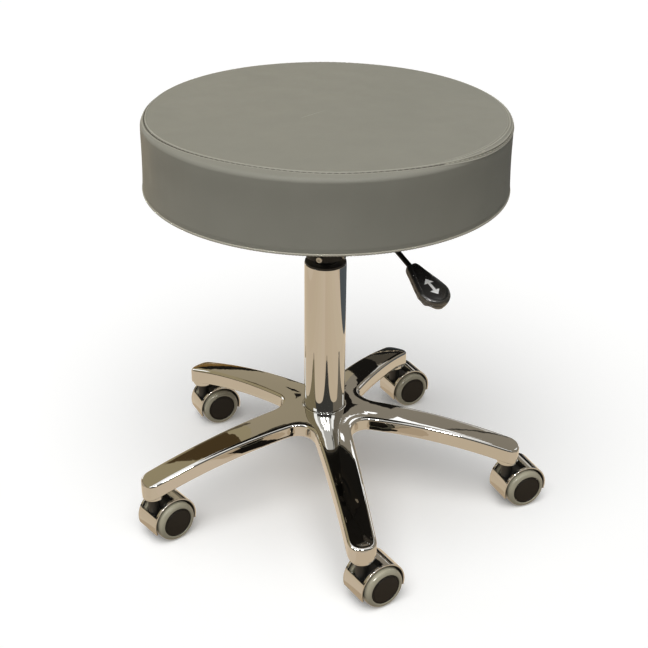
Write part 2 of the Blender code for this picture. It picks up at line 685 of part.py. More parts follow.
def make_seat(mount, vinyl, foam, wood, felt):
    outer = seat_top_profile(0.0, SEAM_DEPTH) + seat_side_profile(0.0)
    inner = seat_top_profile(COVER_THICKNESS) + seat_side_profile(COVER_THICKNESS)
    place("seat_cover", turned(outer + list(reversed(inner)), SEAT_FACETS), vinyl, mount)

    inset = COVER_THICKNESS + GAP
    foam_bottom = BOARD_TOP_Z + GAP
    heights = [height for height in SIDE_HEIGHTS if height > foam_bottom] + [foam_bottom]
    foam_side = [(side_radius(height, inset), height) for height in heights]
    foam_profile = seat_top_profile(inset) + foam_side + [(0, foam_bottom)]
    place("seat_foam", turned(foam_profile, SEAT_FACETS), foam, mount)

    board = cylinder(BOARD_RADIUS, BOARD_BOTTOM_Z, BOARD_TOP_Z, SEAT_FACETS)
    holes = bolt_holes(BOARD_BOTTOM_Z - BOARD_THICKNESS, BOARD_BOTTOM_Z + BOLT_DEPTH_IN_BOARD + GAP)
    place("seat_board", combined(board, cuts=holes), wood, mount)

    sheet_top = DUST_COVER_Z + DUST_COVER_THICKNESS
    sheet = cylinder(SEAT_BOTTOM_RADIUS - DUST_COVER_MARGIN, DUST_COVER_Z, sheet_top, SEAT_FACETS)
    holes = bolt_holes(DUST_COVER_Z - PLATE_THICKNESS, sheet_top + PLATE_THICKNESS)
    place("dust_cover", combined(sheet, cuts=holes), felt, mount)


# Casters: in the caster's own frame the stem is on Z and the axle lies along Y, behind it on +X
def hood_mesh():
    angles = (spread(HOOD_BACK_END, WINDOW_TOP, 8) + spread(WINDOW_TOP, WINDOW_BOTTOM, 5)[1:]
              + spread(WINDOW_BOTTOM, HOOD_FRONT_END, 4)[1:])
    window_half = HOOD_HALF_LENGTH - HOOD_RIM
    stations = [-HOOD_HALF_LENGTH, -window_half, window_half, HOOD_HALF_LENGTH]
    bm = bmesh.new()
    skins = []
    for radius in (HOOD_RADIUS, HOOD_RADIUS - HOOD_THICKNESS):
        skins.append([[bm.verts.new((CASTER_TRAIL + radius * math.cos(angle), y, AXLE_Z + radius * math.sin(angle)))
                       for y in stations] for angle in angles])
    outer, inner = skins
    for row in range(len(angles) - 1):
        middle = (angles[row] + angles[row + 1]) / 2
        for column in range(3):
            if column == 1 and WINDOW_TOP < middle < WINDOW_BOTTOM:
                continue
            for grid in (outer, inner):
                bm.faces.new((grid[row][column], grid[row][column + 1],
                              grid[row + 1][column + 1], grid[row + 1][column]))
    outer_verts = {vert: inner[row][column] for row, line in enumerate(outer) for column, vert in enumerate(line)}
    rims = [edge for edge in bm.edges if edge.is_boundary and edge.verts[0] in outer_verts]
    for edge in rims:
        first, second = edge.verts
        bm.faces.new((first, second, outer_verts[second], outer_verts[first]))
    loose = [vert for vert in bm.verts if not vert.link_faces]
    bmesh.ops.delete(bm, geom=loose, context="VERTS")
    return solid_mesh(bm)


def core_mesh():
    carry_radius = HOOD_RADIUS - HOOD_THICKNESS - GAP
    foot_start = HOOD_FRONT_END + math.radians(10)
    foot_end = HOOD_BACK_END - math.radians(10) + 2 * math.pi
    arcs = ((carry_radius, HOOD_BACK_END, WINDOW_TOP, 5), (CORE_WINDOW_RADIUS, WINDOW_TOP, WINDOW_BOTTOM, 3),
            (carry_radius, WINDOW_BOTTOM, HOOD_FRONT_END, 2), (CORE_FOOT_RADIUS, foot_start, foot_end, 5))
    outline = []
    for radius, start, end, steps in arcs:
        outline += [(radius * math.cos(angle), radius * math.sin(angle)) for angle in spread(start, end, steps)]
    web = prism(outline, -CORE_HALF_WIDTH, CORE_HALF_WIDTH)
    moved(web, Matrix.Translation((CASTER_TRAIL, 0, AXLE_Z)) @ Matrix.Rotation(math.pi / 2, 4, "X"))
    neck = cylinder(NECK_RADIUS, STEM_BOTTOM_Z - STEM_COLLAR_HEIGHT, NECK_TOP_Z, PIN_FACETS)
    stem_bore = cylinder(STEM_RADIUS + RUNNING_GAP, STEM_BOTTOM_Z - GAP, NECK_TOP_Z + STEM_COLLAR_HEIGHT, PIN_FACETS)
    axle_bore = cross_pin(AXLE_RADIUS + GAP, 2 * CORE_HALF_WIDTH, CASTER_TRAIL, AXLE_Z)
    return combined(web, [neck], [stem_bore, axle_bore])


def stem_mesh():
    collar_top = BOSS_BOTTOM_Z - GAP
    collar_bottom = collar_top - STEM_COLLAR_HEIGHT
    return turned([
        (0, STEM_TOP_Z), (STEM_RADIUS, STEM_TOP_Z), (STEM_RADIUS, collar_top), (STEM_COLLAR_RADIUS, collar_top),
        (STEM_COLLAR_RADIUS, collar_bottom), (STEM_RADIUS, collar_bottom), (STEM_RADIUS, STEM_BOTTOM_Z),
        (0, STEM_BOTTOM_Z),
    ], PIN_FACETS)


def wheel_meshes(side):
    # A tyre and its hub about the axle's middle, outwards along side times Y, with a flat facet down
    flat = math.cos(math.pi / ROUND_FACETS)
    tread = WHEEL_RADIUS / flat
    hub = HUB_RADIUS / flat
    seat = (HUB_RADIUS + GAP) / flat
    axle_hole = (AXLE_RADIUS + RUNNING_GAP) / flat
    face = WHEEL_FACE - TYRE_SHOULDER / 9
    tyre = turned([
        (seat, TYRE_INNER_FACE), (tread, TYRE_INNER_FACE), (tread, face - TYRE_SHOULDER),
        (tread - 0.3 * TYRE_SHOULDER, face - 0.4 * TYRE_SHOULDER), (tread - TYRE_SHOULDER, face), (seat, face),
    ], ROUND_FACETS, ring=True)
    hole_end = AXLE_HALF_LENGTH + GAP
    disc = turned([
        (0, WHEEL_FACE), (hub, WHEEL_FACE), (hub, HUB_INNER_FACE), (axle_hole, HUB_INNER_FACE),
        (axle_hole, hole_end), (0, hole_end),
    ], ROUND_FACETS)
    upright = (Matrix.Rotation(-side * math.pi / 2, 4, "X")
               @ Matrix.Rotation(math.pi / ROUND_FACETS, 4, "Z"))
    return moved(tyre, upright), moved(disc, upright)


def make_casters(chrome, plastic, steel, rubber, disc_plastic):
    hood = hood_mesh()
    core = core_mesh()
    stem = stem_mesh()
    axle = cross_pin(AXLE_RADIUS, AXLE_HALF_LENGTH, 0, 0)
    wheels = {"left": wheel_meshes(1), "right": wheel_meshes(-1)}
    for number, (centre, heading) in enumerate(zip(arm_places(), CASTER_HEADINGS), 1):
        label = f"caster_{number}"
        place(f"{label}_stem", stem, steel, location=centre)
        swivel = pivot(f"{label}_swivel", centre, heading)
        place(f"{label}_hood", hood, chrome, swivel)
        place(f"{label}_core", core, plastic, swivel)
        axle_centre = (CASTER_TRAIL, 0, AXLE_Z)
        place(f"{label}_axle", axle, steel, swivel, axle_centre)
        for side, (tyre, disc) in wheels.items():
            place(f"{label}_tyre_{side}", tyre, rubber, swivel, axle_centre)
            place(f"{label}_hub_{side}", disc, disc_plastic, swivel, axle_centre)


def main():
    for item in list(bpy.data.objects):
        bpy.data.objects.remove(item)
    chrome = finish("chrome_plate", (0.72, 0.68, 0.62), 0.08, 1.0)
    zinc = finish("zinc_plated_steel", (0.55, 0.55, 0.54), 0.35, 1.0)
    satin_steel = finish("ground_steel", (0.6, 0.6, 0.6), 0.22, 1.0)
    black_paint = finish("black_painted_steel", (0.012, 0.012, 0.012), 0.35)
    black_plastic = finish("black_nylon", (0.018, 0.018, 0.018), 0.45)
    gloss_plastic = finish("black_gloss_plastic", (0.015, 0.015, 0.016), 0.2)
    disc_plastic = finish("dark_grey_plastic", (0.022, 0.021, 0.019), 0.5)
    rubber = finish("grey_polyurethane", (0.2, 0.19, 0.16), 0.3)
    vinyl = finish("taupe_vinyl", (0.22, 0.21, 0.175), 0.42)
    foam = finish("seat_foam", (0.75, 0.7, 0.55), 0.95)
    wood = finish("plywood", (0.5, 0.35, 0.2), 0.7)
    felt = finish("black_nonwoven", (0.02, 0.02, 0.02), 0.95)

    make_star_base(chrome)
    make_column(chrome, black_plastic, zinc)
    make_gas_lift(satin_steel, satin_steel, zinc)
    mount = pivot("seat_mount", (0, 0, 0), LEVER_ANGLE)
    make_seat_plate(mount, black_paint, zinc)
    make_lever(mount, black_paint, gloss_plastic)
    make_seat(mount, vinyl, foam, wood, felt)
    make_casters(chrome, black_plastic, zinc, rubber, disc_plastic)


main()
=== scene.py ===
import math

import bmesh
import bpy
import numpy as np
from mathutils import Matrix, Vector


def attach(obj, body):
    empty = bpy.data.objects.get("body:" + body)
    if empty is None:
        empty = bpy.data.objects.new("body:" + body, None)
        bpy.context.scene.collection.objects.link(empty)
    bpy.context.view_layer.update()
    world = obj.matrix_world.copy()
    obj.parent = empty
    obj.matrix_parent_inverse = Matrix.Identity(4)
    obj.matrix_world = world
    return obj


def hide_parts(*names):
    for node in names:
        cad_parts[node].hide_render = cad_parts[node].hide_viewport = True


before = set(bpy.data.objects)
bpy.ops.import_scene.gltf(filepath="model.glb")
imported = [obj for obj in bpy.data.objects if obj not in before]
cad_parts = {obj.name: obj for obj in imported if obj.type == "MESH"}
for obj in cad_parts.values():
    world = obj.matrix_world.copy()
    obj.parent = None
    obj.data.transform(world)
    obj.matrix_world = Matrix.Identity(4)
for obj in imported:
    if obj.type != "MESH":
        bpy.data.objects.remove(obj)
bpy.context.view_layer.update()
scene = bpy.context.scene
mm = 0.001    # every size below is in millimetres, every angle in a dictionary in degrees
quarterTurn, fullTurn = math.pi / 2, 2 * math.pi


def toLinear(hexCode):
    # sRGB hex to linear red, green, blue and alpha
    values = [int(hexCode[i:i + 2], 16) / 255 for i in (1, 3, 5)]
    return [v / 12.92 if v <= 0.04045 else ((v + 0.055) / 1.055) ** 2.4 for v in values] + [1.0]


def addNode(tree, kind, settings=None, links=None):
    node = tree.nodes.new("ShaderNode" + kind)
    for key, value in (settings or {}).items():
        if isinstance(key, str) and hasattr(node, key):
            setattr(node, key, value)
        else:
            node.inputs[key].default_value = value
    for key, source in (links or {}).items():
        tree.links.new(source, node.inputs[key])
    return node


def perMetre(sizeMm):
    return 1000.0 / sizeMm    # a pattern's scale from its real size


def spread(start, end, steps):
    return [start + (end - start) * i / steps for i in range(steps + 1)]


def smooth(low, high, value):
    share = np.clip((np.asarray(value, float) - low) / (high - low), 0.0, 1.0)
    return share * share * (3 - 2 * share)


def bell(distance, width):
    return np.exp(-(distance / width) ** 2)


def onCircle(radius, degrees):
    angle = math.radians(degrees)
    return radius * math.cos(angle), radius * math.sin(angle)


def circle(radius, steps):
    return [(radius * math.cos(a), radius * math.sin(a)) for a in spread(0, fullTurn, steps)[:-1]]


def rounded(corners, steps=5):
    # corners are (x, y, radius); each one with a radius becomes a short curve
    points, most = [], 0.49    # a curve takes less than half of a side
    for i, (x, y, radius) in enumerate(corners):
        here = Vector((x, y))
        if not radius or i in (0, len(corners) - 1):
            points.append((x, y))
            continue
        back = Vector(corners[i - 1][:2]) - here
        ahead = Vector(corners[i + 1][:2]) - here
        turn = math.pi - back.angle(ahead)
        reach = min(radius * math.tan(turn / 2), most * back.length, most * ahead.length)
        start, end = here + back.normalized() * reach, here + ahead.normalized() * reach
        for t in spread(0, 1, steps):
            p = start * (1 - t) ** 2 + here * 2 * t * (1 - t) + end * t ** 2
            points.append((p.x, p.y))
    return points


def loft(rings):
    # quads between each closed ring of points and the next
    points, faces, count = [], [], len(rings[0])
    for ring in rings:
        points += [tuple(p) for p in ring]
    for i in range(len(rings) - 1):
        for k in range(count):
            a, b = i * count + k, i * count + (k + 1) % count
            faces.append((a, b, b + count, a + count))
    return points, faces


def capped(shape, count):
    # end faces for a loft whose rings have so many points
    points, faces = shape
    return points, faces + [tuple(range(count)), tuple(range(len(points) - count, len(points)))]


def lathe(profile, steps):
    return loft([[(x, y, z) for x, y in circle(r, steps)] for r, z in profile])


def joined(*shapes):
    points, faces = [], []
    for shapePoints, shapeFaces in shapes:
        faces += [tuple(i + len(points) for i in face) for face in shapeFaces]
        points += list(shapePoints)
    return points, faces


def placed(shape, matrix):
    # matrix moves a shape in millimetres
    return [tuple(matrix @ Vector(p)) for p in shape[0]], shape[1]


def makeMesh(name, shape, material, sharpDeg=35):
    mesh = bpy.data.meshes.new(name)
    mesh.from_pydata([[c * mm for c in p] for p in shape[0]], [], shape[1])
    work = bmesh.new()
    work.from_mesh(mesh)
    bmesh.ops.remove_doubles(work, verts=work.verts, dist=0.002 * mm)
    bmesh.ops.recalc_face_normals(work, faces=work.faces)
    work.to_mesh(mesh)
    work.free()
    mesh.shade_smooth()
    mesh.set_sharp_from_angle(angle=math.radians(sharpDeg))
    mesh.materials.append(material)
    return mesh


def addPiece(name, mesh, body, place=None, standsFor=(), bevel=0.0, flatten=True):
    piece = bpy.data.objects.new(name, mesh)
    scene.collection.objects.link(piece)
    if place is not None:
        piece.matrix_world = place
    if bevel:    # a rounded lip on every sharp edge
        lip = piece.modifiers.new("roundLip", "BEVEL")
        lip.width, lip.segments, lip.limit_method = bevel * mm, 3, "ANGLE"
        lip.angle_limit = math.radians(40)
    if flatten:    # flat faces stay flat beside their rounded edges
        piece.modifiers.new("flatFaces", "WEIGHTED_NORMAL").keep_sharp = True
    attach(piece, body)
    if standsFor:
        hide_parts(*standsFor)
    return piece


def makeFinish(spec):
    # shared layout: broad colour drift, roughness drift and a fine raised grain, each at a real size
    material = bpy.data.materials.new(spec["name"])
    material.use_nodes = True
    tree = material.node_tree
    shader = tree.nodes["Principled BSDF"]
    for socket, value in spec["shader"].items():
        shader.inputs[socket].default_value = value
    spot = addNode(tree, "TexCoord").outputs["Object"]
    drift = addNode(tree, "TexNoise", {"Scale": perMetre(spec["driftMm"]), "Detail": 3.0}, {"Vector": spot})
    factor, firstColour, secondColour, mixed = 0, 6, 7, 2    # a colour Mix node's sockets
    plain, varied = [toLinear(code) for code in spec["colours"]]
    colour = addNode(tree, "Mix", {"data_type": "RGBA", firstColour: plain, secondColour: varied},
                     {factor: drift.outputs["Fac"]})
    if "ridgeSheen" in spec:    # painted sheen: the raised ridges are drawn paler
        ridges = addNode(tree, "NewGeometry").outputs["Pointiness"]
        low, high = spec["ridges"]
        ridgeSheenShare = addNode(tree, "MapRange", {"From Min": low, "From Max": high}, {"Value": ridges})
        colour = addNode(tree, "Mix", {"data_type": "RGBA", secondColour: toLinear(spec["ridgeSheen"])},
                         {factor: ridgeSheenShare.outputs["Result"], firstColour: colour.outputs[mixed]})
    tree.links.new(colour.outputs[mixed], shader.inputs["Base Color"])
    rub = addNode(tree, "TexNoise", {"Scale": perMetre(spec["rubMm"]), "Detail": 4.0}, {"Vector": spot})
    low, high = spec["roughness"]    # most values of the noise lie from 0.3 to 0.7
    rough = addNode(tree, "MapRange", {"From Min": 0.3, "From Max": 0.7, "To Min": low, "To Max": high},
                    {"Value": rub.outputs["Fac"]})
    tree.links.new(rough.outputs["Result"], shader.inputs["Roughness"])
    along = addNode(tree, "Mapping", {"Scale": spec.get("stretch", (1, 1, 1))}, {"Vector": spot}).outputs["Vector"]
    scale = perMetre(spec["grainMm"])
    if spec.get("cells"):
        grain = addNode(tree, "TexVoronoi", {"feature": "SMOOTH_F1", "Scale": scale, "Smoothness": 0.6},
                        {"Vector": along}).outputs["Distance"]
    else:
        grain = addNode(tree, "TexNoise", {"Scale": scale, "Detail": 2.0}, {"Vector": along}).outputs["Fac"]
    relief = addNode(tree, "Bump", {"Strength": spec["relief"], "Distance": spec["reliefMm"] * mm}, {"Height": grain})
    tree.links.new(relief.outputs["Normal"], shader.inputs["Normal"])
    return material


# Chrome plate on a buffed casting: a hard neutral mirror whose slow polish waves break up the edges of what it mirrors
chromeCast = makeFinish({
    "name": "chromePlateBuffedCasting", "shader": {"Metallic": 1.0}, "colours": ["#c8c8c6", "#cecdca"],
    "driftMm": 90, "roughness": (0.015, 0.05), "rubMm": 40, "grainMm": 20, "relief": 1.0, "reliefMm": 0.16})

# Chrome plate on drawn tube: the same mirror, but straight along the draw
chromeTube = makeFinish({
    "name": "chromePlateDrawnTube", "shader": {"Metallic": 1.0}, "colours": ["#c8c8c6", "#cecdca"],
    "driftMm": 90, "roughness": (0.012, 0.04), "rubMm": 40, "grainMm": 16, "stretch": (1.0, 1.0, 0.12),
    "relief": 1.0, "reliefMm": 0.05})

# Bright zinc plate on turned steel: pale grey with a soft, slightly blotchy shine
zinc = makeFinish({
    "name": "zincPlateTurned", "shader": {"Metallic": 1.0}, "colours": ["#aeaeaa", "#bebdb8"],
    "driftMm": 12, "roughness": (0.28, 0.42), "rubMm": 5, "grainMm": 1.2, "relief": 0.3, "reliefMm": 0.02})

# Centreless-ground steel: fine rings round the bar draw the highlight out
steel = makeFinish({
    "name": "steelGround", "shader": {"Metallic": 1.0, "Anisotropic": 0.4}, "colours": ["#a9a9a8", "#b6b6b4"],
    "driftMm": 60, "roughness": (0.16, 0.24), "rubMm": 15, "grainMm": 2.0, "stretch": (0.1, 0.1, 1.0),
    "relief": 0.25, "reliefMm": 0.01})

# Powder coat, baked: black with a soft orange-peel shine
powderCoat = makeFinish({
    "name": "powderCoatBaked", "shader": {"IOR": 1.5, "Specular IOR Level": 0.25}, "colours": ["#121212", "#181817"],
    "driftMm": 40, "roughness": (0.30, 0.42), "rubMm": 25, "grainMm": 1.4, "relief": 0.35, "reliefMm": 0.05})

# Glass-filled nylon, moulded in a spark-eroded tool: dull black with a dry, fine tooth (0.3 mm, drawn at 0.8 to show)
nylon = makeFinish({
    "name": "nylonMoulded", "shader": {"IOR": 1.53}, "colours": ["#131312", "#1a1918"],
    "driftMm": 20, "roughness": (0.42, 0.55), "rubMm": 8, "grainMm": 0.8, "relief": 0.3, "reliefMm": 0.04})

# ABS, moulded in a polished tool: near-black with a wet-looking shine and faint finger haze
glossAbs = makeFinish({
    "name": "absMouldedGloss", "shader": {"IOR": 1.54, "Specular IOR Level": 0.85}, "colours": ["#212120", "#2a2a29"],
    "driftMm": 30, "roughness": (0.24, 0.34), "rubMm": 18, "grainMm": 6.0, "relief": 0.2, "reliefMm": 0.03})

# Polypropylene disc, moulded with a fine tooth: warm near-black, satin
discPlastic = makeFinish({
    "name": "polypropyleneMoulded", "shader": {"IOR": 1.49, "Specular IOR Level": 0.22},
    "colours": ["#1b1815", "#211e1a"],
    "driftMm": 14, "roughness": (0.42, 0.54), "rubMm": 7, "grainMm": 0.7, "relief": 0.25, "reliefMm": 0.03})

# Polyurethane tread, cast: olive grey with a wet-looking shine, a little uneven where it has picked up dust
tread = makeFinish({
    "name": "polyurethaneCast", "shader": {"IOR": 1.5}, "colours": ["#a39e89", "#afaa95"],
    "driftMm": 16, "roughness": (0.08, 0.13), "rubMm": 9, "grainMm": 1.0, "relief": 0.2, "reliefMm": 0.03})

# PVC-coated cloth, roller-embossed: taupe with a soft sheen, and a painted sheen that draws the sewn ridges paler;
# the 0.6 mm leather pebble is drawn at 1.3 to show
vinyl = makeFinish({
    "name": "vinylEmbossed", "shader": {"IOR": 1.52, "Specular IOR Level": 0.14}, "colours": ["#8b8a7f", "#939186"],
    # ridgeSheen: the paler colour of painted sheen on the raised ridges
    "ridgeSheen": "#aeab9e", "ridges": (0.505, 0.54), "driftMm": 55, "cells": True,
    "roughness": (0.40, 0.52), "rubMm": 30, "grainMm": 1.3, "relief": 0.22, "reliefMm": 0.10})

# Bonded polyester thread, twisted: paler than the vinyl, partly its own colour and partly painted light that the proud
# stitches catch, with a dry twist along it;
# the 0.2 mm twist is drawn at 0.6, and the thread itself thicker than real, to show
thread = makeFinish({
    "name": "polyesterThread", "shader": {"IOR": 1.55}, "colours": ["#a6a292", "#b2ae9f"],
    "driftMm": 3, "roughness": (0.5, 0.65), "rubMm": 2, "grainMm": 0.6, "relief": 0.5, "reliefMm": 0.1})

# The same thread, drawn down into the seam: dull, and darker with the seam's shade painted in
threadShaded = makeFinish({
    "name": "polyesterThreadShaded", "shader": {"IOR": 1.55, "Specular IOR Level": 0.2},
    "colours": ["#545047", "#615d52"],
    "driftMm": 3, "roughness": (0.6, 0.75), "rubMm": 2, "grainMm": 0.6, "relief": 0.5, "reliefMm": 0.1})

# Birch plywood, sanded: pale with long grain
plywood = makeFinish({
    "name": "plywoodSanded", "shader": {"IOR": 1.5}, "colours": ["#b8925e", "#cfae7c"],
    "driftMm": 9, "stretch": (0.15, 1.0, 1.0), "roughness": (0.6, 0.75), "rubMm": 12, "grainMm": 2.5,
    "relief": 0.3, "reliefMm": 0.1})

# Polypropylene felt, needle-punched: black, matt and hairy; 0.1 mm fibres drawn at 0.9 to show
felt = makeFinish({
    "name": "feltNeedlePunched", "shader": {"IOR": 1.49, "Sheen Weight": 0.15}, "colours": ["#0f0f0f", "#191918"],
    "driftMm": 5, "roughness": (0.85, 0.95), "rubMm": 6, "grainMm": 0.9, "relief": 0.6, "reliefMm": 0.2})

# Pad-printing ink: flat off-white, thin enough to keep the plastic's waviness
ink = makeFinish({
    "name": "inkPadPrinted", "shader": {"IOR": 1.5}, "colours": ["#f3f3f0", "#fafaf7"],
    "driftMm": 4, "roughness": (0.45, 0.6), "rubMm": 3, "grainMm": 0.8, "relief": 0.2, "reliefMm": 0.02})
print("finishes made")


# five-arm base, cast in one piece with a boss under each arm's tip
base = {
    "arms": 5, "firstArm": -7.4, "reach": 244, "hubTop": 122.4, "rise": 40.9,
    "crown": 0.55, "rootCrown": 1.25, "crownFade": (60, 135),    # the root's crown fades between these radii
    "rootSkirt": 15.8, "tipSkirt": 20.4, "rootHalf": 21.9, "tipHalf": 16.7, "flare": 1.3, "valley": 23.5,
    "tipLength": 16, "tipSquareness": 2.7, "edge": 4.4, "wall": 3.0, "topExtra": 1.05,
    "hubRadius": 31, "hubFlat": 29.5, "hubBottom": 88.3, "bore": 25.1, "boreFoot": 23.4, "bead": 1.1, "beadTop": 123.9,
    "stemCircle": 231.3, "stemHole": 5.1, "collarHole": 9.0, "bossRadius": 13.2, "bossBottom": 59, "bossSeat": 63,
    "bossMiddle": 70, "bossTop": 79, "topShares": (0, 0.12, 0.25, 0.4, 0.55, 0.7, 0.84, 1.0),
    "valleySteps": 18, "sideSteps": 46, "tipSteps": 18, "edgeSteps": 7, "easing": 6}


def armAngle(i):
    return base["firstArm"] + 360 / base["arms"] * i


def armTop(r):
    return base["hubTop"] - base["rise"] * (r / base["reach"]) ** 2


def armCrown(r):
    return base["rootCrown"] + (base["crown"] - base["rootCrown"]) * smooth(*base["crownFade"], r)


def armFoot(r):
    return armTop(r) - base["rootSkirt"] - (base["tipSkirt"] - base["rootSkirt"]) * r / base["reach"]


def halfPlan(inset):
    # half an arm seen from above: valley, flared side, squarish tip
    b, half = base, math.pi / base["arms"]
    centre = (b["rootHalf"] + b["valley"]) / math.sin(half)
    cx, cy = centre * math.cos(half), centre * math.sin(half)
    points = [(cx + (b["valley"] + inset) * math.cos(a), cy + (b["valley"] + inset) * math.sin(a))
              for a in spread(math.pi + half, 1.5 * math.pi, b["valleySteps"])]
    tipX = b["reach"] - b["tipLength"]
    for share in spread(0, 1, b["sideSteps"])[1:]:
        width = b["tipHalf"] + (b["rootHalf"] - b["tipHalf"]) * (1 - share) ** b["flare"]
        points.append((cx + (tipX - cx) * share, width - inset))
    power = 2 / b["tipSquareness"]
    for a in spread(0, quarterTurn, b["tipSteps"])[1:]:
        points.append((tipX + (b["tipLength"] - inset) * math.sin(a) ** power,
                       (b["tipHalf"] - inset) * max(math.cos(a), 0.0) ** power))
    plan = np.array(points)
    for _ in range(b["easing"]):    # ease the joins so that the chrome shows no kink
        plan[1:-1] = (plan[:-2] + 2 * plan[1:-1] + plan[2:]) / 4
    return plan


def hubArc(radius):
    # the hub's circle from the middle of a valley to the middle of an arm
    return [onCircle(radius, d) for d in spread(180 / base["arms"], 0, base["valleySteps"])]


def halfSpine(hub, edgePlan):
    # the line that the half plan closes on: the hub's circle, then the arm's middle
    steps = base["valleySteps"]
    x = edgePlan[steps + 1:, 0]
    share = (x - edgePlan[steps, 0]) / (edgePlan[-1, 0] - edgePlan[steps, 0])
    end = edgePlan[-1, 0] - base["tipHalf"] / 2
    return np.array(hubArc(hub) + [(hub + (end - hub) * s, 0.0) for s in share])


def fullRing(half, heights):
    # a half plan mirrored and repeated for every arm
    body = np.column_stack([half, heights])
    arm = np.vstack([body * (1, -1, 1), body[::-1][1:-1]])
    ring = []
    for i in range(base["arms"]):
        turn = Matrix.Rotation(math.radians(armAngle(i)), 3, "Z")
        ring += [turn @ Vector(p) for p in arm]
    return ring


def makeBase():
    b = base
    outer, inner = halfPlan(0.0), halfPlan(b["edge"])
    perInset = (inner - outer) / b["edge"]
    radius = lambda plan: np.hypot(plan[:, 0], plan[:, 1])
    spine = halfSpine(b["hubRadius"], inner)
    shortest = 4    # keeps the slope low where the edge comes near the spine
    crownSlope = np.arctan(2 * armCrown(radius(inner)) / np.maximum(np.hypot(*(inner - spine).T), shortest))
    edgeStart = outer + perInset * (b["edge"] * (1 - np.sin(crownSlope)))[:, None]
    rings = []
    for share in b["topShares"]:    # the crowned top
        plan = spine * (1 - share) + edgeStart * share
        r = radius(plan)
        rings.append(fullRing(plan, armTop(r) + armCrown(r) * (1 - share * share)))
    edgeTop = armTop(radius(edgeStart))
    for share in spread(0, 1, b["edgeSteps"])[1:]:    # the rolled edge
        tilt = crownSlope + (quarterTurn - crownSlope) * share
        plan = outer + perInset * (b["edge"] * (1 - np.sin(tilt)))[:, None]
        rings.append(fullRing(plan, edgeTop - b["edge"] * (np.cos(crownSlope) - np.cos(tilt))))
    foot = armFoot(radius(outer))    # the skirt's foot, turned in, then the open channel under the arm
    for inset, up in ((0, 4.0), (0, 1.2), (0.35, 0.35), (1.2, 0), (b["wall"] - 0.6, 0), (b["wall"], 0.6)):
        rings.append(fullRing(outer + perInset * inset, foot + up))
    under = b["wall"] + b["topExtra"]
    innerWall = outer + perInset * b["wall"]
    for plan in (innerWall, halfSpine(b["hubRadius"], innerWall)):
        rings.append(fullRing(plan, armTop(radius(plan)) - under))

    ridge = lambda r: float(armTop(r) + armCrown(r))
    beadFoot = b["bore"] + 2 * b["bead"]
    hub = [(r, ridge(r)) for r in (b["hubRadius"], b["hubFlat"])] + [(beadFoot + 0.3, ridge(beadFoot))]
    hub += [(b["bore"] + b["bead"] * (1 + math.cos(a)), b["beadTop"] - b["bead"] * (1 - math.sin(a)))
            for a in spread(-0.5, math.pi, 12)]
    hub += [(b["bore"], b["beadTop"] - 2 * b["bead"]), (b["boreFoot"], b["hubBottom"]),
            (b["hubRadius"] - 1, b["hubBottom"]), (b["hubRadius"], b["hubBottom"] + 1),
            (b["hubRadius"], float(armTop(b["hubRadius"])) - under)]
    hubRings = [fullRing(np.array(hubArc(r)), np.full(b["valleySteps"] + 1, z)) for r, z in hub]
    post = lathe(rounded([(b["stemHole"], b["bossMiddle"], 0), (b["stemHole"], b["bossSeat"], 0),
                          (b["collarHole"], b["bossSeat"], 0), (b["collarHole"], b["bossBottom"], 0.5),
                          (b["bossRadius"], b["bossBottom"], 1.6), (b["bossRadius"], b["bossTop"], 0),
                          (b["stemHole"], b["bossTop"], 0), (b["stemHole"], b["bossMiddle"], 0)]), 56)
    bosses = [placed(post, Matrix.Translation((*onCircle(b["stemCircle"], armAngle(i)), 0))) for i in range(b["arms"])]
    star = joined(loft(rings), loft(hubRings), *bosses)
    addPiece("starBaseChromed", makeMesh("starBase", star, chromeCast, 50), "base",
             standsFor=["star_base"], flatten=False)


makeBase()
print("base made")


# column, its guide bush and the gas lift
column = {
    "radius": 25, "wall": 2, "top": 317.3, "straight": 40, "hubTop": 122.4, "bottom": 88.3, "footRadius": 23.2,
    "floor": 91.8, "hole": 5.8, "bushRadius": 24.6, "bushBore": 14.4, "bushBottom": 249.3, "bushMiddle": 300,
    "bushTop": 319.8, "gap": 0.3, "lift": 14, "liftBottom": 119.3, "liftMiddle": 250, "liftTop": 381.0,
    "taperStart": 326.8, "taper": 0.9, "valveHole": 3.4, "valveDepth": 6}


def makeColumn():
    c = column
    inside, foot = c["radius"] - c["wall"], c["footRadius"] - c["wall"]
    tube = lathe(rounded([(c["hole"], c["bottom"], 0), (c["footRadius"], c["bottom"], 0.6),
                          (c["radius"], c["hubTop"], 0), (c["radius"], c["top"] - c["straight"], 0),
                          (c["radius"], c["top"], 0.9), (inside, c["top"], 0.6), (inside, c["hubTop"], 0),
                          (foot, c["floor"], 0), (c["hole"], c["floor"], 0), (c["hole"], c["bottom"], 0)]), 144)
    addPiece("columnTubeChromed", makeMesh("columnTube", tube, chromeTube), "base",
             standsFor=["column_tube"])
    seat, fit = c["top"] + c["gap"], inside - c["gap"]
    sleeve = lathe(rounded([(c["bushBore"], c["bushMiddle"], 0), (c["bushBore"], c["bushTop"], 0.8),
                            (c["bushRadius"], c["bushTop"], 1.1), (c["bushRadius"], seat, 0.3), (fit, seat, 0),
                            (fit, c["bushBottom"], 0.8), (c["bushBore"], c["bushBottom"], 0.8),
                            (c["bushBore"], c["bushMiddle"], 0)]), 96)
    addPiece("guideBushMoulded", makeMesh("guideBush", sleeve, nylon), "base",
             standsFor=["guide_bush"])
    r, valveFloor = c["lift"], c["liftTop"] - c["valveDepth"]
    lift = lathe(rounded([(0, c["liftBottom"], 0), (r, c["liftBottom"], 1.2), (r, c["liftMiddle"], 0),
                          (r, c["taperStart"], 0), (r - c["taper"], c["liftTop"], 0.8),
                          (c["valveHole"], c["liftTop"], 0), (c["valveHole"], valveFloor, 0), (0, valveFloor, 0)]), 96)
    addPiece("gasLiftGround", makeMesh("gasLift", lift, steel), "seat",
             standsFor=["gas_cylinder"])


makeColumn()
print("column made")


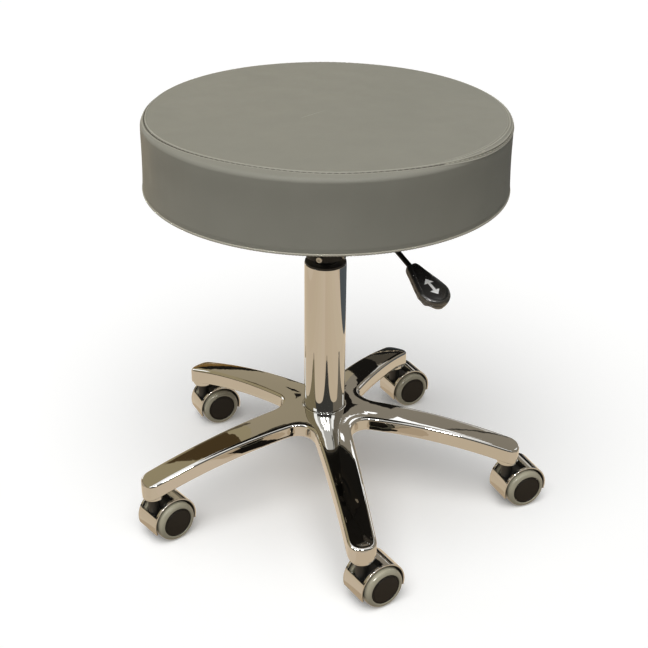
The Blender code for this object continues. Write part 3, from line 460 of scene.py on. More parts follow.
# seat plate, socket and fasteners, turned to face along the lever; a profile is (radius, height, rounding)
plateTurn = Matrix.Rotation(math.radians(-52.0), 4, "Z")
plate = {
    "side": 160, "corner": 14, "bottom": 408.6, "top": 411.6, "socket": 24, "socketBore": 14.35, "socketBottom": 326.8,
    "slotHalf": 4.6, "slotLow": 384.5, "slotHigh": 395.5, "slotSteps": 4, "dish": 62, "dishSlope": 14, "dishDrop": 4,
    "bossWidth": 7, "bossDepth": 7, "bolts": 62.5, "boltSeat": 1.5, "screws": [(-107, 330.6), (-30, 330.4)],
    "boltProfile": [(0, -1.6, 0), (2.1, -1.6, 0), (2.1, -3.6, 0.3), (5.2, -4, 0.8), (6.2, -2.6, 0.5), (6.2, 0, 0.2),
                    (8.5, 0, 0.2), (8.5, 1.2, 0.2), (3, 1.2, 0), (3, 16, 0), (0, 16, 0)],
    "screwProfile": [(0, 1.1, 0), (1.7, 1.1, 0), (1.7, 2.2, 0.2), (3.6, 2.2, 0.6), (3.6, -1.5, 0), (0, -1.5, 0)]}


def gridShell(outer, inner, keep, wrap):
    # two grids of points a wall apart, with the left-out faces bridged from one to the other
    rows, columns = len(outer), len(outer[0])
    points = [p for line in outer for p in line] + [p for line in inner for p in line]
    half, faces, edges = rows * columns, [], {}
    for i in range(rows - 1):
        for k in range(columns if wrap else columns - 1):
            if not keep(i, k):
                continue
            m = (k + 1) % columns
            quad = (i * columns + k, i * columns + m, (i + 1) * columns + m, (i + 1) * columns + k)
            faces += [quad, tuple(v + half for v in reversed(quad))]
            for edge in zip(quad, quad[1:] + quad[:1]):
                if not edges.pop(edge[::-1], False):    # an edge that two faces share drops out
                    edges[edge] = True
    faces += [(b, a, a + half, b + half) for a, b in edges]
    used = sorted({v for face in faces for v in face})
    renumber = {v: i for i, v in enumerate(used)}
    return [points[v] for v in used], [tuple(renumber[v] for v in face) for face in faces]


def makePlate():
    p = plate
    inner = p["side"] / 2 - p["corner"]
    cornerSteps = 8

    def square(inset, z):
        ring = []
        for q, (sx, sy) in enumerate(((1, 1), (-1, 1), (-1, -1), (1, -1))):
            for a in spread(q * quarterTurn, (q + 1) * quarterTurn, cornerSteps):
                ring.append((sx * inner + (p["corner"] - inset) * math.cos(a),
                             sy * inner + (p["corner"] - inset) * math.sin(a), z))
        return ring

    def middle(z):
        return [(0, 0, z)] * (4 * (cornerSteps + 1))

    low, high = p["bottom"], p["top"]
    sheet = loft([middle(low), square(0.9, low), square(0.25, low + 0.25), square(0, low + 0.9), square(0, high - 0.6),
                  square(0.6, high), middle(high)])
    root, inset, dishFloor = p["socket"] - 1, p["socket"] - 0.5, low - p["dishDrop"]
    bossFoot, overlap = dishFloor - p["bossDepth"], low + 1    # the dish and the socket reach 1 mm into the sheet
    dish = lathe(rounded([(root, overlap, 0), (p["dish"], overlap, 0), (p["dish"], low, 0),
                          (p["dish"] - p["dishSlope"], dishFloor, 6), (p["socket"] + p["bossWidth"], dishFloor, 4),
                          (inset, bossFoot, 0), (root, bossFoot, 0), (root, overlap, 0)], 6), 96)
    slotAngle = math.asin(p["slotHalf"] / p["socket"])
    angles = spread(-slotAngle, slotAngle, p["slotSteps"]) + spread(slotAngle, fullTurn - slotAngle, 92)[1:-1]
    levels = [p["socketBottom"], p["slotLow"], p["slotHigh"], overlap]
    walls = [[[(r * math.cos(a), r * math.sin(a), z) for a in angles] for z in levels]
             for r in (p["socket"], p["socketBore"])]
    tube = gridShell(*walls, lambda i, k: not (i == 1 and k < p["slotSteps"]), True)    # the lever's slot is left out
    addPiece("seatPlatePressed", makeMesh("seatPlate", placed(sheet, plateTurn), powderCoat), "seat",
             standsFor=["seat_plate"])
    addPiece("seatPlateDish", makeMesh("seatPlateDish", placed(dish, plateTurn), powderCoat), "seat")
    addPiece("socketTube", makeMesh("socketTube", placed(tube, plateTurn), powderCoat), "seat",
             bevel=0.7)
    boltMesh = makeMesh("seatBolt", lathe(rounded(p["boltProfile"]), 48), zinc)
    corners = [(x * p["bolts"], y * p["bolts"]) for x in (-1, 1) for y in (-1, 1)]
    for i, (x, y) in enumerate(corners, 1):
        at = plateTurn @ Matrix.Translation((x * mm, y * mm, (low - p["boltSeat"]) * mm))
        addPiece(f"seatBoltZinc_{i}", boltMesh, "seat", at, [f"seat_bolt_{i}"])
    screwMesh = makeMesh("socketScrew", lathe(rounded(p["screwProfile"]), 36), zinc)
    for i, (turn, z) in enumerate(p["screws"], 1):    # set screws that clamp the socket on the lift
        at = (Matrix.Rotation(math.radians(turn), 4, "Z") @ Matrix.Translation((p["socket"] * mm, 0, z * mm))
              @ Matrix.Rotation(quarterTurn, 4, "Y"))
        addPiece(f"socketScrew_{i}", screwMesh, "seat", at)


makePlate()
print("seat plate made")


# lever: a bent rod and a moulded paddle; gripRows run from the rim of its face down: inset, height, finger ripple
lever = {
    "turn": -53.4, "height": 390, "rod": 2.9, "chamfer": 0.6, "rodSteps": 32, "start": -1, "straight": 96, "bend": 30,
    "droop": 23.5, "slope": 47.5, "inGrip": 19, "gripLength": 61, "gripHalf": 18.4, "gripRoot": 7.6, "gripWidest": 42,
    "gripRound": 6, "ripple": 11.0, "rippleFade": (6, 16), "faceInset": 4.8, "faceHeight": 5.3, "faceCrown": 0.5,
    "faceShares": (0.0, 0.3, 0.6, 0.85, 1.0),
    "gripRows": [(4.1, 5.45, 0), (3.4, 5.9, 0), (2.7, 6.0, 0), (1.7, 5.5, 0), (0.7, 4.5, 0), (0.15, 3.2, 0),
                 (0, 1.6, 0), (0.05, 0.5, 0), (0.5, 0.2, 0), (0.5, -0.2, 0), (0.1, -0.5, 0), (0.3, -2.4, 0.9),
                 (1.0, -4.2, 1.6), (2.4, -5.6, 1.7), (4.4, -6.3, 0.6), (5.2, -6.5, 0)],
    "back": (5.2, -6.6), "arrowAt": 37, "arrowHeight": 5.92, "arrowDepth": 0.4, "arrowFall": 0.02,
    "arrowBar": 5.2, "arrowTip": 11.6, "arrowWing": 6.4, "arrowHalf": 1.7}


def makeLever():
    v = lever
    leverTurn = Matrix.Rotation(math.radians(v["turn"]), 4, "Z")
    droop = math.radians(v["droop"])
    path = [(v["start"] + x, v["height"]) for x in (0, 4, 27, 50, 73)]
    path += [(v["straight"] + v["bend"] * math.sin(a), v["height"] + v["bend"] * (math.cos(a) - 1))
             for a in spread(0, droop, 10)]
    bendEnd = Vector(path[-1])
    down = Vector((math.cos(droop), -math.sin(droop)))
    path += [tuple(bendEnd + down * s) for s in spread(0, v["slope"] + v["inGrip"], 8)[1:]]
    rings = []
    for i, (x, z) in enumerate(path):
        ahead = Vector(path[min(i + 1, len(path) - 1)]) - Vector(path[max(i - 1, 0)])
        ahead.normalize()
        size = v["rod"] if 0 < i < len(path) - 1 else v["rod"] - v["chamfer"]
        rings.append([(x - ahead.y * up, side, z + ahead.x * up) for up, side in circle(size, v["rodSteps"])])
    start, end = [[(x, 0, z)] * v["rodSteps"] for x, z in (path[0], path[-1])]
    rod = placed(loft([start] + rings + [end]), leverTurn)
    addPiece("leverRodCoated", makeMesh("leverRod", rod, powderCoat), "lever",
             standsFor=["lever_rod"])

    length, widest, full = v["gripLength"], v["gripWidest"], v["gripHalf"]

    def halfWidth(x):
        # narrow at the rod, widest near the end, closed by half an ellipse
        swell = v["gripRoot"] + (full - v["gripRoot"]) * (0.4 * smooth(0, widest, x) + 0.6 * x / widest)
        swell = swell * (0.6 + 0.4 * np.sqrt(1 - (1 - np.clip(x / v["gripRound"], 0, 1)) ** 2))
        close = full * np.sqrt(np.clip(1 - ((x - widest) / (length - widest)) ** 2, 0, 1))
        return np.where(x > widest, close, swell)

    along = np.concatenate([np.linspace(0, 1, 34) ** 1.3 * widest,
                            widest + (length - widest) * np.sin(np.linspace(0, quarterTurn, 22))[1:]])

    def outline(inset, z, scallop=0.0, across=1.0):
        x = inset * 0.9 + along * (length - 1.8 * inset) / length
        wave = scallop * np.cos(along / v["ripple"] * 2 * math.pi) * smooth(*v["rippleFade"], along)
        y = np.maximum(halfWidth(along) - inset + 0.6 * wave, 0.0) * across
        side = np.column_stack([x, y, z + wave])
        return np.vstack([side, (side * (1, -1, 1))[::-1][1:-1]])

    stack = [outline(v["faceInset"], v["faceHeight"] + v["faceCrown"] * (1 - u * u), across=u)
             for u in v["faceShares"]]
    stack += [outline(*row) for row in v["gripRows"]] + [outline(*v["back"], across=u) for u in (0.5, 0.0)]
    root = bendEnd + down * v["slope"]
    seat = leverTurn @ Matrix.Translation((root.x, 0, root.y)) @ Matrix.Rotation(droop, 4, "Y")
    addPiece("leverGripMoulded", makeMesh("leverGrip", placed(loft(stack), seat), glossAbs, 50), "lever",
             standsFor=["lever_grip"], flatten=False)
    # a plain up-and-down arrow, printed across the paddle's face
    bar, tip, wing, half = v["arrowBar"], v["arrowTip"], v["arrowWing"], v["arrowHalf"]
    flat = [(-bar, -half), (-bar, -wing), (-tip, 0), (-bar, wing), (-bar, half),
            (bar, half), (bar, wing), (tip, 0), (bar, -wing), (bar, -half)]
    mark = loft([[(v["arrowAt"] + x, y, v["arrowHeight"] - v["arrowDepth"]) for x, y in flat],
                 [(v["arrowAt"] + x, y, v["arrowHeight"] - v["arrowFall"] * abs(y)) for x, y in flat]])
    mark[1].append(tuple(range(len(flat), 2 * len(flat))))
    addPiece("leverArrowPrint", makeMesh("leverArrow", placed(mark, seat), ink), "lever", flatten=False)


makeLever()
print("lever made")


# casters; in a caster's own frame the stem is on Z and the axle lies along Y, behind it on +X
caster = {
    "headings": [23.4, 28.0, 26.4, 40.2, 32.8], "trail": 17.5, "wheel": 25, "face": 24.1,
    "disc": 18.2, "discInner": 8.6, "groove": (15.9, 17.2),
    "tyreInner": 11, "tyreMiddle": 15, "tyreSide": 18.5, "tyreRound": 5.6,
    "axle": 3.4, "axleEnd": 19.8, "hood": 29.5, "hoodWall": 1.8, "hoodHalf": 18.6, "hoodFlat": 12, "rim": 3.2,
    "back": -16, "front": 199, "window": (88, 153), "liner": 0.7, "linerGap": 0.05, "linerWidth": 0.97,
    "core": 7.6, "coreGap": 0.1, "coreWindow": 20, "coreFoot": 11, "coreEnd": 338,
    "neck": 7, "neckFoot": 34, "neckLip": 0.8, "neckShoulder": 56, "neckTop": 60.0, "stemHoleFoot": 50,
    "stem": 4.8, "stemTop": 78.5, "stemBottom": 36, "collar": 8, "collarTop": 62.7, "collarHeight": 2.4, "lip": 0.5}


def casterMeshes():
    c = caster
    centre = Matrix.Translation((c["trail"], 0, c["wheel"]))
    windowStart, windowEnd = c["window"]
    inside = c["hood"] - c["hoodWall"]
    # hood: a bent strip with a window at the front, its wall shown at every lip
    degrees = (spread(c["back"], windowStart, 34) + spread(windowStart, windowEnd, 22)[1:]
               + spread(windowEnd, c["front"], 14)[1:])
    across = [-c["hoodHalf"], -c["hoodHalf"] + c["rim"], *spread(-c["hoodFlat"], c["hoodFlat"], 4),
              c["hoodHalf"] - c["rim"], c["hoodHalf"]]

    def strip(radius, width=1.0):
        return [[(x, y * width, z) for y in across] for x, z in (onCircle(radius, d) for d in degrees)]

    def outsideWindow(i, k):
        turn = (degrees[i] + degrees[i + 1]) / 2
        return not (0 < k < len(across) - 2 and windowStart <= turn <= windowEnd)

    hood = gridShell(strip(c["hood"]), strip(inside), outsideWindow, False)
    liner = gridShell(strip(inside - c["linerGap"], c["linerWidth"]), strip(inside - c["liner"], c["linerWidth"]),
                      outsideWindow, False)    # the hood is unplated inside, and drawn black also as painted shade in its hollow
    # core: the moulded body between the wheels, with the swivel's neck
    carry = inside - c["liner"] - c["coreGap"]
    outline = []
    for radius, start, end, steps in ((carry, c["back"], windowStart, 20), (c["coreWindow"], *c["window"], 14),
                                      (carry, windowEnd, c["front"], 10),
                                      (c["coreFoot"], c["front"] + 10, c["coreEnd"], 24)):
        outline += [onCircle(radius, d) for d in spread(start, end, steps)]
    web = capped(loft([[(x, y, z) for x, z in outline] for y in (-c["core"], c["core"])]), len(outline))
    lip, hole = c["neck"] + c["neckLip"], c["stem"] + 0.4
    neck = lathe(rounded([(0, c["neckFoot"], 0), (c["neck"], c["neckFoot"], 0), (c["neck"], c["neckShoulder"], 0.4),
                          (lip, c["neckShoulder"] + 0.6, 0.3), (lip, c["neckTop"], 0.5), (hole, c["neckTop"], 0),
                          (hole, c["stemHoleFoot"], 0), (0, c["stemHoleFoot"], 0)]), 40)
    collarFoot = c["collarTop"] - c["collarHeight"]
    stem = lathe(rounded([(0, c["stemTop"], 0), (c["stem"], c["stemTop"], 0.8), (c["stem"], c["collarTop"], 0),
                          (c["collar"], c["collarTop"], 0.5), (c["collar"], collarFoot, 0.5),
                          (c["stem"], collarFoot, 0), (c["stem"], c["stemBottom"], 0.8), (0, c["stemBottom"], 0)]), 40)
    # wheel: a fat rounded tyre round a flat disc, with a groove where they meet
    wheel, face, inner = c["wheel"], c["face"], c["tyreInner"]
    seat = c["disc"] + 0.3
    tyre = [(seat, c["tyreMiddle"]), (seat, inner + 0.4), (c["disc"] + 0.8, inner), (wheel - 1.6, inner),
            (wheel - 0.5, inner + 0.45), (wheel, inner + 1.6), (wheel, 16.4)]
    tyre += [(wheel - 0.25 - c["tyreRound"] * (1 - math.cos(a)), c["tyreSide"] + c["tyreRound"] * math.sin(a))
             for a in spread(0.1, quarterTurn * 0.98, 16)]
    tyre += [(c["disc"] + 0.55, face - 0.35), (seat, face - 0.9), (seat, c["tyreMiddle"])]
    grooveIn, grooveOut = c["groove"]    # a moulded ring on the disc's face
    disc = rounded([(0, face - 0.15, 0), (6, face - 0.2, 0), (grooveIn, face - 0.3, 0.2),
                    (grooveIn + 0.3, face - 0.75, 0.15), (grooveOut - 0.3, face - 0.75, 0.15),
                    (grooveOut, face - 0.3, 0.2), (c["disc"] - 0.3, face - 0.35, 0.3), (c["disc"], face - 1.2, 0),
                    (c["disc"], c["discInner"], 0.5), (c["axle"] + 3, c["discInner"], 0),
                    (c["axle"], c["discInner"], 0.3), (c["axle"], c["axleEnd"], 0), (0, c["axleEnd"], 0)], 4)
    made = {"hood": makeMesh("casterHood", placed(hood, centre), chromeCast),
            "liner": makeMesh("casterLinerShaded", placed(liner, centre), nylon),
            "core": makeMesh("casterCore", joined(placed(web, centre), neck), nylon),
            "stem": makeMesh("casterStem", stem, zinc)}
    for side, sign in (("left", 1), ("right", -1)):
        upright = centre @ Matrix.Rotation(-sign * quarterTurn, 4, "X")
        made["tyre_" + side] = makeMesh("casterTyre", placed(lathe(tyre, 96), upright), tread)
        made["hub_" + side] = makeMesh("casterDisc", placed(lathe(disc, 96), upright), discPlastic)
    return made


def makeCasters():
    meshes = casterMeshes()
    for n, heading in enumerate(caster["headings"], 1):
        x, y = onCircle(base["stemCircle"], armAngle(n - 1))
        at = Matrix.Translation((x * mm, y * mm, 0)) @ Matrix.Rotation(math.radians(heading), 4, "Z")
        for kind, mesh in meshes.items():
            part, _, side = kind.partition("_")
            body = "base" if part == "stem" else f"caster_{n}_wheel_{side}" if side else f"caster_{n}"
            standsFor = [] if part == "liner" else [f"caster_{n}_{kind}"]
            addPiece(f"caster{part.capitalize()}{side.capitalize()}_{n}", mesh, body, at, standsFor,
                     bevel=caster["lip"] if part in ("hood", "core") else 0)


makeCasters()
print("casters made")


# seat cushion: its outline, the sewn row, the hem cord and the cover's cloth
cushion = {
    "rim": 206.3, "edge": 500.0, "rollBack": 9.0, "dropBack": 9.0, "rollFront": 6.5, "dropFront": 5.5, "edgeSlope": 14,
    "crown": 2.0, "fallWidth": 11, "edgeZone": 20, "rollZone": 9, "foot": 207.1, "footZ": 423.9, "footZone": 4,
    "waist": 0.8, "hemDepth": 0.15, "hemZone": 1.6, "hemRoll": 2.4, "hemTurn": -80, "hemR": 204.55, "hemZ": 421.6,
    "bottom": 413.0, "underRise": 6.0, "tuck": 190, "wrap": 166.4, "floor": 414.2,
    "stitches": 192, "perStitch": 4, "stitchLength": 4.3, "sunkLength": 6.9,
    "threadRadius": 0.58,    # a little coarser than real thread, to show
    # how far the sewn row, and the fold of the panel's edge, lie outside the panel's edge: (degrees round, mm)
    "seam": [(-160, 1.5), (-142, -4), (-128, -8), (-115, -12), (-103, -10.2), (-91, -7.4), (-79, -7.0), (-67, -6.0),
             (-54, 0.4), (-36, 5.6), (-10, 8), (60, 7), (150, 4)],
    "fold": [(-62, -6.0), (-46, -4.6), (-30, -2.2), (-12, 0.6), (40, 1.2)],
    "groove": 0.35, "pit": 0.40, "grooveWidth": 0.9, "ridgeInside": 1.1, "ridgeOutside": 0.65, "ridgeAt": 2.1,
    "crease": 0.8, "creaseWidth": 0.65, "bead": 0.55, "beadAt": 1.7, "beadWidth": 0.8, "bandMiddle": 20,
    "pucker": 0.3, "puckerAt": -2.4, "puckerWidth": 1.6, "puckerWaves": (173, 211, 247, 131),
    "cordR": 206.3, "cordZ": 419.5, "cord": 1.4, "cordTwist": 0.22, "cordTwists": 380,
    "simRows": 44, "simColumns": 96, "simFrames": 20, "seamHold": 0.85, "cap": 3.0, "puff": 0.35,
    "cloth": {"quality": 6, "mass": 0.3, "tension_stiffness": 40, "compression_stiffness": 40,
              "bending_stiffness": 2.0, "pin_stiffness": 2.0, "shrink_min": 0.0, "shrink_max": 0.03,
              "use_pressure": True, "uniform_pressure_force": 4.0}}


def runLength(profile):
    return np.concatenate([[0], np.cumsum(np.hypot(*np.diff(profile, axis=0).T))])


def signedDegrees(theta):
    return (np.degrees(np.asarray(theta, float)) + 180) % 360 - 180


def cushionProfile(bend, drop):
    # (radius, height) from the middle of the top, over the rolled edge, down the band, round the hem and in underneath
    c = cushion
    slope = math.radians(c["edgeSlope"])
    start = math.atan(math.tan(slope) * bend / drop)
    rollR, rimZ = c["rim"] - bend, c["edge"] - drop * math.cos(start)
    panelR = rollR + bend * math.sin(start)
    fall = (math.tan(slope) - 2 * c["crown"] / panelR) * c["fallWidth"] / 2
    zoneR, zoneZ, footTop = panelR - c["edgeZone"], rimZ - c["rollZone"], c["footZ"] + c["footZone"]
    r = np.concatenate([np.linspace(0, zoneR, 14), np.linspace(zoneR, panelR, 41)[1:]])
    nearEdge = np.clip((r - panelR) / c["fallWidth"] + 1, 0, 1)
    z = c["edge"] + fall * (1 - nearEdge ** 2) + c["crown"] * (1 - (r / panelR) ** 2)
    tilt = np.linspace(start, quarterTurn, 26)[1:]
    roll = np.column_stack([rollR + bend * np.sin(tilt), rimZ + drop * np.cos(tilt)])
    down = np.concatenate([np.linspace(rimZ, zoneZ, 18)[1:], np.linspace(zoneZ, footTop, 18)[1:],
                           np.linspace(footTop, c["footZ"], 9)[1:]])
    share = (rimZ - down) / (rimZ - c["footZ"])
    side = c["rim"] + (c["foot"] - c["rim"]) * share - c["waist"] * np.sin(math.pi * share)
    side = side - c["hemDepth"] * smooth(c["footZ"] + c["hemZone"], c["footZ"], down)
    turn = np.linspace(0, math.radians(c["hemTurn"]), 13)
    hem = np.column_stack([c["hemR"] + c["hemRoll"] * np.cos(turn), c["hemZ"] + c["hemRoll"] * np.sin(turn)])
    under = [(x, c["bottom"] + c["underRise"] * float(smooth(c["tuck"], c["hemR"], x)))
             for x in np.linspace(c["hemR"] - 1.5, c["tuck"], 8)]
    under += [(c["wrap"], c["bottom"]), (c["wrap"], c["floor"])]
    under += [(x, c["floor"]) for x in np.linspace(c["wrap"], 0, 5)[1:]]
    return np.vstack([np.column_stack([r, z]), roll, np.column_stack([side, down]), hem, under]), len(r) - 1


def seamOffset(theta):
    # the sewn row's offset, eased between its measured places
    angles, offsets = (np.array(values, float) for values in zip(*sorted(cushion["seam"])))
    around = np.concatenate([angles - 360, angles, angles + 360]), np.tile(offsets, 3)
    steps = range(-12, 13, 3)
    return sum(np.interp(signedDegrees(theta) + step, *around) for step in steps) / len(steps)


def puffedShift(profile, edgeRow):
    # the cover as simulated cloth: pushed out by the foam, held at its hem and drawn in by the seam
    c, steps = cushion, cushion["simColumns"]
    length = runLength(profile)
    hemRow = int(np.argmin(np.abs(profile[:, 1] - c["footZ"])))
    rows = np.linspace(0, length[hemRow], c["simRows"])
    coarse = np.column_stack([np.interp(rows, length, profile[:, i]) for i in (0, 1)])
    coarse[0, 0] = 1.0    # a small ring at the middle, closed by one face
    shape = lathe(coarse, steps)
    shape[1].append(tuple(range(steps)))
    mesh = bpy.data.meshes.new("coverTrial")
    mesh.from_pydata([[v * mm for v in p] for p in shape[0]], [], shape[1])
    trial = bpy.data.objects.new("coverTrial", mesh)
    scene.collection.objects.link(trial)
    held = trial.vertex_groups.new(name="held")
    seam = trial.vertex_groups.new(name="seam")
    seamRow = int(np.argmin(np.abs(rows - length[edgeRow])))
    pull = np.random.default_rng(11).uniform(0.3, 1.0, steps)
    for i in range(c["simRows"]):
        for k in range(steps):
            if i >= c["simRows"] - 2:
                held.add([i * steps + k], 1.0, "REPLACE")
            elif i == seamRow:
                held.add([i * steps + k], c["seamHold"], "REPLACE")
            if abs(i - seamRow) <= 1:
                seam.add([i * steps + k], float(pull[k]), "REPLACE")
    cloth = trial.modifiers.new("cover", "CLOTH")
    for key, value in c["cloth"].items():
        setattr(cloth.settings, key, value)
    cloth.settings.vertex_group_mass, cloth.settings.vertex_group_shrink = "held", "seam"
    cloth.settings.effector_weights.gravity = 0.0
    cloth.collision_settings.use_self_collision = False
    for step in range(1, c["simFrames"] + 1):
        scene.frame_set(step)
    done = trial.evaluated_get(bpy.context.evaluated_depsgraph_get()).to_mesh()
    shift = np.array([v.co for v in done.vertices]) / mm - np.array(shape[0])
    size = np.linalg.norm(shift, axis=1, keepdims=True)
    shift *= np.minimum(1.0, c["cap"] / np.maximum(size, 1e-6))
    bpy.data.objects.remove(trial)
    scene.frame_set(1)
    angles = np.tile(np.arange(steps) * 2 * math.pi / steps, c["simRows"])
    radial = shift[:, 0] * np.cos(angles) + shift[:, 1] * np.sin(angles)
    return rows, radial.reshape(c["simRows"], steps), shift[:, 2].reshape(c["simRows"], steps)


def upsampled(values, rows, length, columns):
    # a simulated field on the fine grid: along the profile, then round the seat
    count, margin, window = values.shape[1], 20, 25
    grid = np.arange(-margin, rows[-1] + margin, 0.5)
    box = np.ones(window) / window
    ease = lambda run: np.convolve(np.convolve(run, box, "same"), box, "same")
    fine = np.array([np.interp(length, grid, ease(np.interp(grid, rows, values[:, k], right=0.0)))
                     for k in range(count)]).T
    at = np.arange(columns) * count / columns
    low = np.floor(at).astype(int) % count
    share = smooth(0, 1, at - np.floor(at))
    return fine[:, low] * (1 - share) + fine[:, (low + 1) % count] * share


def makeCushion():
    c = cushion
    backProfile, edgeRow = cushionProfile(c["rollBack"], c["dropBack"])
    frontProfile, _ = cushionProfile(c["rollFront"], c["dropFront"])
    columns = c["stitches"] * c["perStitch"]
    theta = np.arange(columns) * 2 * math.pi / columns
    nearness = smooth(-0.2, 0.75, -np.sin(theta))[None, :]    # the cover is pulled tighter at the front
    blend = lambda back, front: back[:, None] * (1 - nearness) + front[:, None] * nearness
    runs, normals = [], []
    for p in (backProfile, frontProfile):
        along = np.gradient(p, axis=0)
        across = np.column_stack([-along[:, 1], along[:, 0]])
        normals.append(across / np.linalg.norm(across, axis=1, keepdims=True) * (-1 if across[0, 1] < 0 else 1))
        runs.append(runLength(p))
    length = blend(*runs)
    radius, height = [blend(backProfile[:, i], frontProfile[:, i]) for i in (0, 1)]
    normalR, normalZ = [blend(normals[0][:, i], normals[1][:, i]) for i in (0, 1)]
    rows, radial, rise = puffedShift(backProfile, edgeRow)
    print("cover simulated, largest shift", round(float(np.abs(rise).max()), 2), "mm")
    radius = radius + c["puff"] * upsampled(radial, rows, runs[0], columns)
    height = height + c["puff"] * upsampled(rise, rows, runs[0], columns)
    # the sewn row: a groove pulled deeper at each stitch, between two narrow ridges
    seamAt = length[edgeRow] + seamOffset(theta)
    off = length - seamAt[None, :]
    pit = 0.5 + 0.5 * np.cos(theta * c["stitches"])
    ridge = np.where(off < 0, c["ridgeInside"], c["ridgeOutside"]) * bell(np.abs(off) - c["ridgeAt"], c["grooveWidth"])
    relief = ridge - (c["groove"] + c["pit"] * pit) * bell(off, c["grooveWidth"])
    # where the row has dropped on to the band, the panel's turned edge shows as a thin crease inside a bead
    onBand = smooth(0.16, 0.40, np.cos(theta - math.radians(c["bandMiddle"])))
    foldOffset = np.interp(signedDegrees(theta), *zip(*c["fold"]))
    fold = length - (length[edgeRow] + foldOffset)[None, :]
    bead = c["bead"] * bell(fold - c["beadAt"], c["beadWidth"])
    relief += onBand * (bead - c["crease"] * bell(fold, c["creaseWidth"]))
    # fine puckers on the inner side of the row
    waves = c["puckerWaves"]
    phases = np.random.default_rng(5).uniform(0, 6.28, len(waves))
    wave = sum(np.cos(theta * k + p) for k, p in zip(waves, phases)) / len(waves)
    relief += c["pucker"] * wave * bell(off - c["puckerAt"], c["puckerWidth"]) * (0.35 + 0.65 * onBand)
    relief[0] = 0.0
    radius = radius + relief * normalR
    height = height + relief * normalZ
    x, y = radius * np.cos(theta), radius * np.sin(theta)
    tip, tail = [[(0, 0, float(height[end].mean()))] * columns for end in (0, -1)]
    shape = loft([tip] + [np.column_stack([x[i], y[i], height[i]]) for i in range(1, len(radius) - 1)] + [tail])
    cover = addPiece("seatCushion", makeMesh("seatCushion", shape, vinyl, 75), "seat",
                     standsFor=["seat_cover", "seat_foam"], flatten=False)
    # the thread itself, one short loop a stitch, lying in the groove
    proud, sunk, sides = [], [], 8
    for s in range(c["stitches"]):
        middle = (s + 0.5) * 2 * math.pi / c["stitches"]
        band = float(np.interp(middle, theta, onBand))
        reach = (c["stitchLength"] if band > 0.5 else c["sunkLength"]) / 2
        rings = []
        for step in spread(-1, 1, 8):
            angle = middle + step * reach / c["rim"]
            k = int(round(angle / fullTurn * columns)) % columns
            r, z, nr, nz = (float(np.interp(seamAt[k], length[:, k], field[:, k]))
                            for field in (radius, height, normalR, normalZ))
            n = Vector((nr, nz)).normalized()
            lift = 0.45 + 0.15 * band - (0.45 + 0.3 * band) * step ** 4    # each end dives into the vinyl
            ring = []
            for up, side in circle(c["threadRadius"] * (1 - 0.35 * step ** 4), sides):
                out = r + n.x * (lift + up) + n.y * side
                ring.append((out * math.cos(angle), out * math.sin(angle), z + n.y * (lift + up) - n.x * side))
            rings.append(ring)
        (proud if band > 0.5 else sunk).append(capped(loft(rings), sides))
    # the stitches off the band take the thread with the seam's painted shade
    for name, loops, finish in (("seatStitchingProud", proud, thread), ("seatStitchingSunk", sunk, threadShaded)):
        addPiece(name, makeMesh(name, joined(*loops), finish, 60), "seat", flatten=False)
    # a twisted cord sewn round the hem
    cord = []
    for angle in spread(0, fullTurn, c["cordTwists"] * 6)[:-1]:
        ring = []
        for a in spread(0, fullTurn, 12)[:-1]:
            size = c["cord"] + c["cordTwist"] * math.cos(2 * a + c["cordTwists"] * angle)
            out = c["cordR"] + size * math.cos(a)
            ring.append((out * math.cos(angle), out * math.sin(angle), c["cordZ"] + size * math.sin(a)))
        cord.append(ring)
    # the cord takes the same thread, pale partly with painted light
    addPiece("seatHemCord", makeMesh("seatHemCord", loft(cord + cord[:1]), thread, 75), "seat",
             flatten=False)


makeCushion()
print("cushion made")


# dust cover under the seat, with the staples that hold it
dustCover = {
    "radius": 184.4, "bottom": 411.9, "top": 412.7, "margin": 14, "scallop": 0.75, "steps": 240,
    "staples": 40, "stapleCircle": 176, "stapleWidth": 10, "stapleSink": 0.2, "wire": (0.55, 0.45), "sides": 8}


def makeDustCover():
    d = dustCover
    rng = np.random.default_rng(3)
    angles = spread(0, fullTurn, d["steps"])[:-1]
    flat = d["radius"] - d["margin"]
    rings = []
    for r, z in rounded([(0, d["bottom"], 0), (flat, d["bottom"], 0), (d["radius"], d["bottom"], 0.3),
                         (d["radius"], d["top"], 0.2), (flat, d["top"], 0), (0, d["top"], 0)], 3):
        pull = d["scallop"] if r > d["radius"] - 1 else 0.0    # the rim is drawn in between the staples
        reach = [r + pull * math.cos(d["staples"] * a) for a in angles]
        rings.append([(out * math.cos(a), out * math.sin(a), z) for out, a in zip(reach, angles)])
    addPiece("dustCoverFelt", makeMesh("dustCover", loft(rings), felt), "seat",
             standsFor=["dust_cover"], flatten=False)
    half, (wide, thick) = d["stapleWidth"] / 2, d["wire"]
    bar = capped(loft([[(x, wide * cy, thick * sy) for cy, sy in circle(1.0, d["sides"])]
                       for x in spread(-half, half, 4)]), d["sides"])
    wires = []
    for s in range(d["staples"]):
        a = fullTurn * s / d["staples"] + rng.uniform(-0.01, 0.01)
        at = (Matrix.Rotation(a, 4, "Z") @ Matrix.Translation((d["stapleCircle"], 0, d["bottom"] - d["stapleSink"]))
              @ Matrix.Rotation(quarterTurn + rng.uniform(-0.15, 0.15), 4, "Z"))
        wires.append(placed(bar, at))
    addPiece("dustCoverStaples", makeMesh("staples", joined(*wires), zinc, 60), "seat",
             flatten=False)


makeDustCover()

# finishes for the solids that stay
stayFinishes = {"piston_rod": steel, "thrust_bearing": zinc, "retaining_clip": zinc, "valve_button": zinc,
                "lever_pin": zinc, "seat_board": plywood, "axle": steel}
for name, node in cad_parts.items():
    for key, finish in stayFinishes.items():
        if key in name:
            for slot in node.material_slots:
                slot.material = finish
print("underside made")


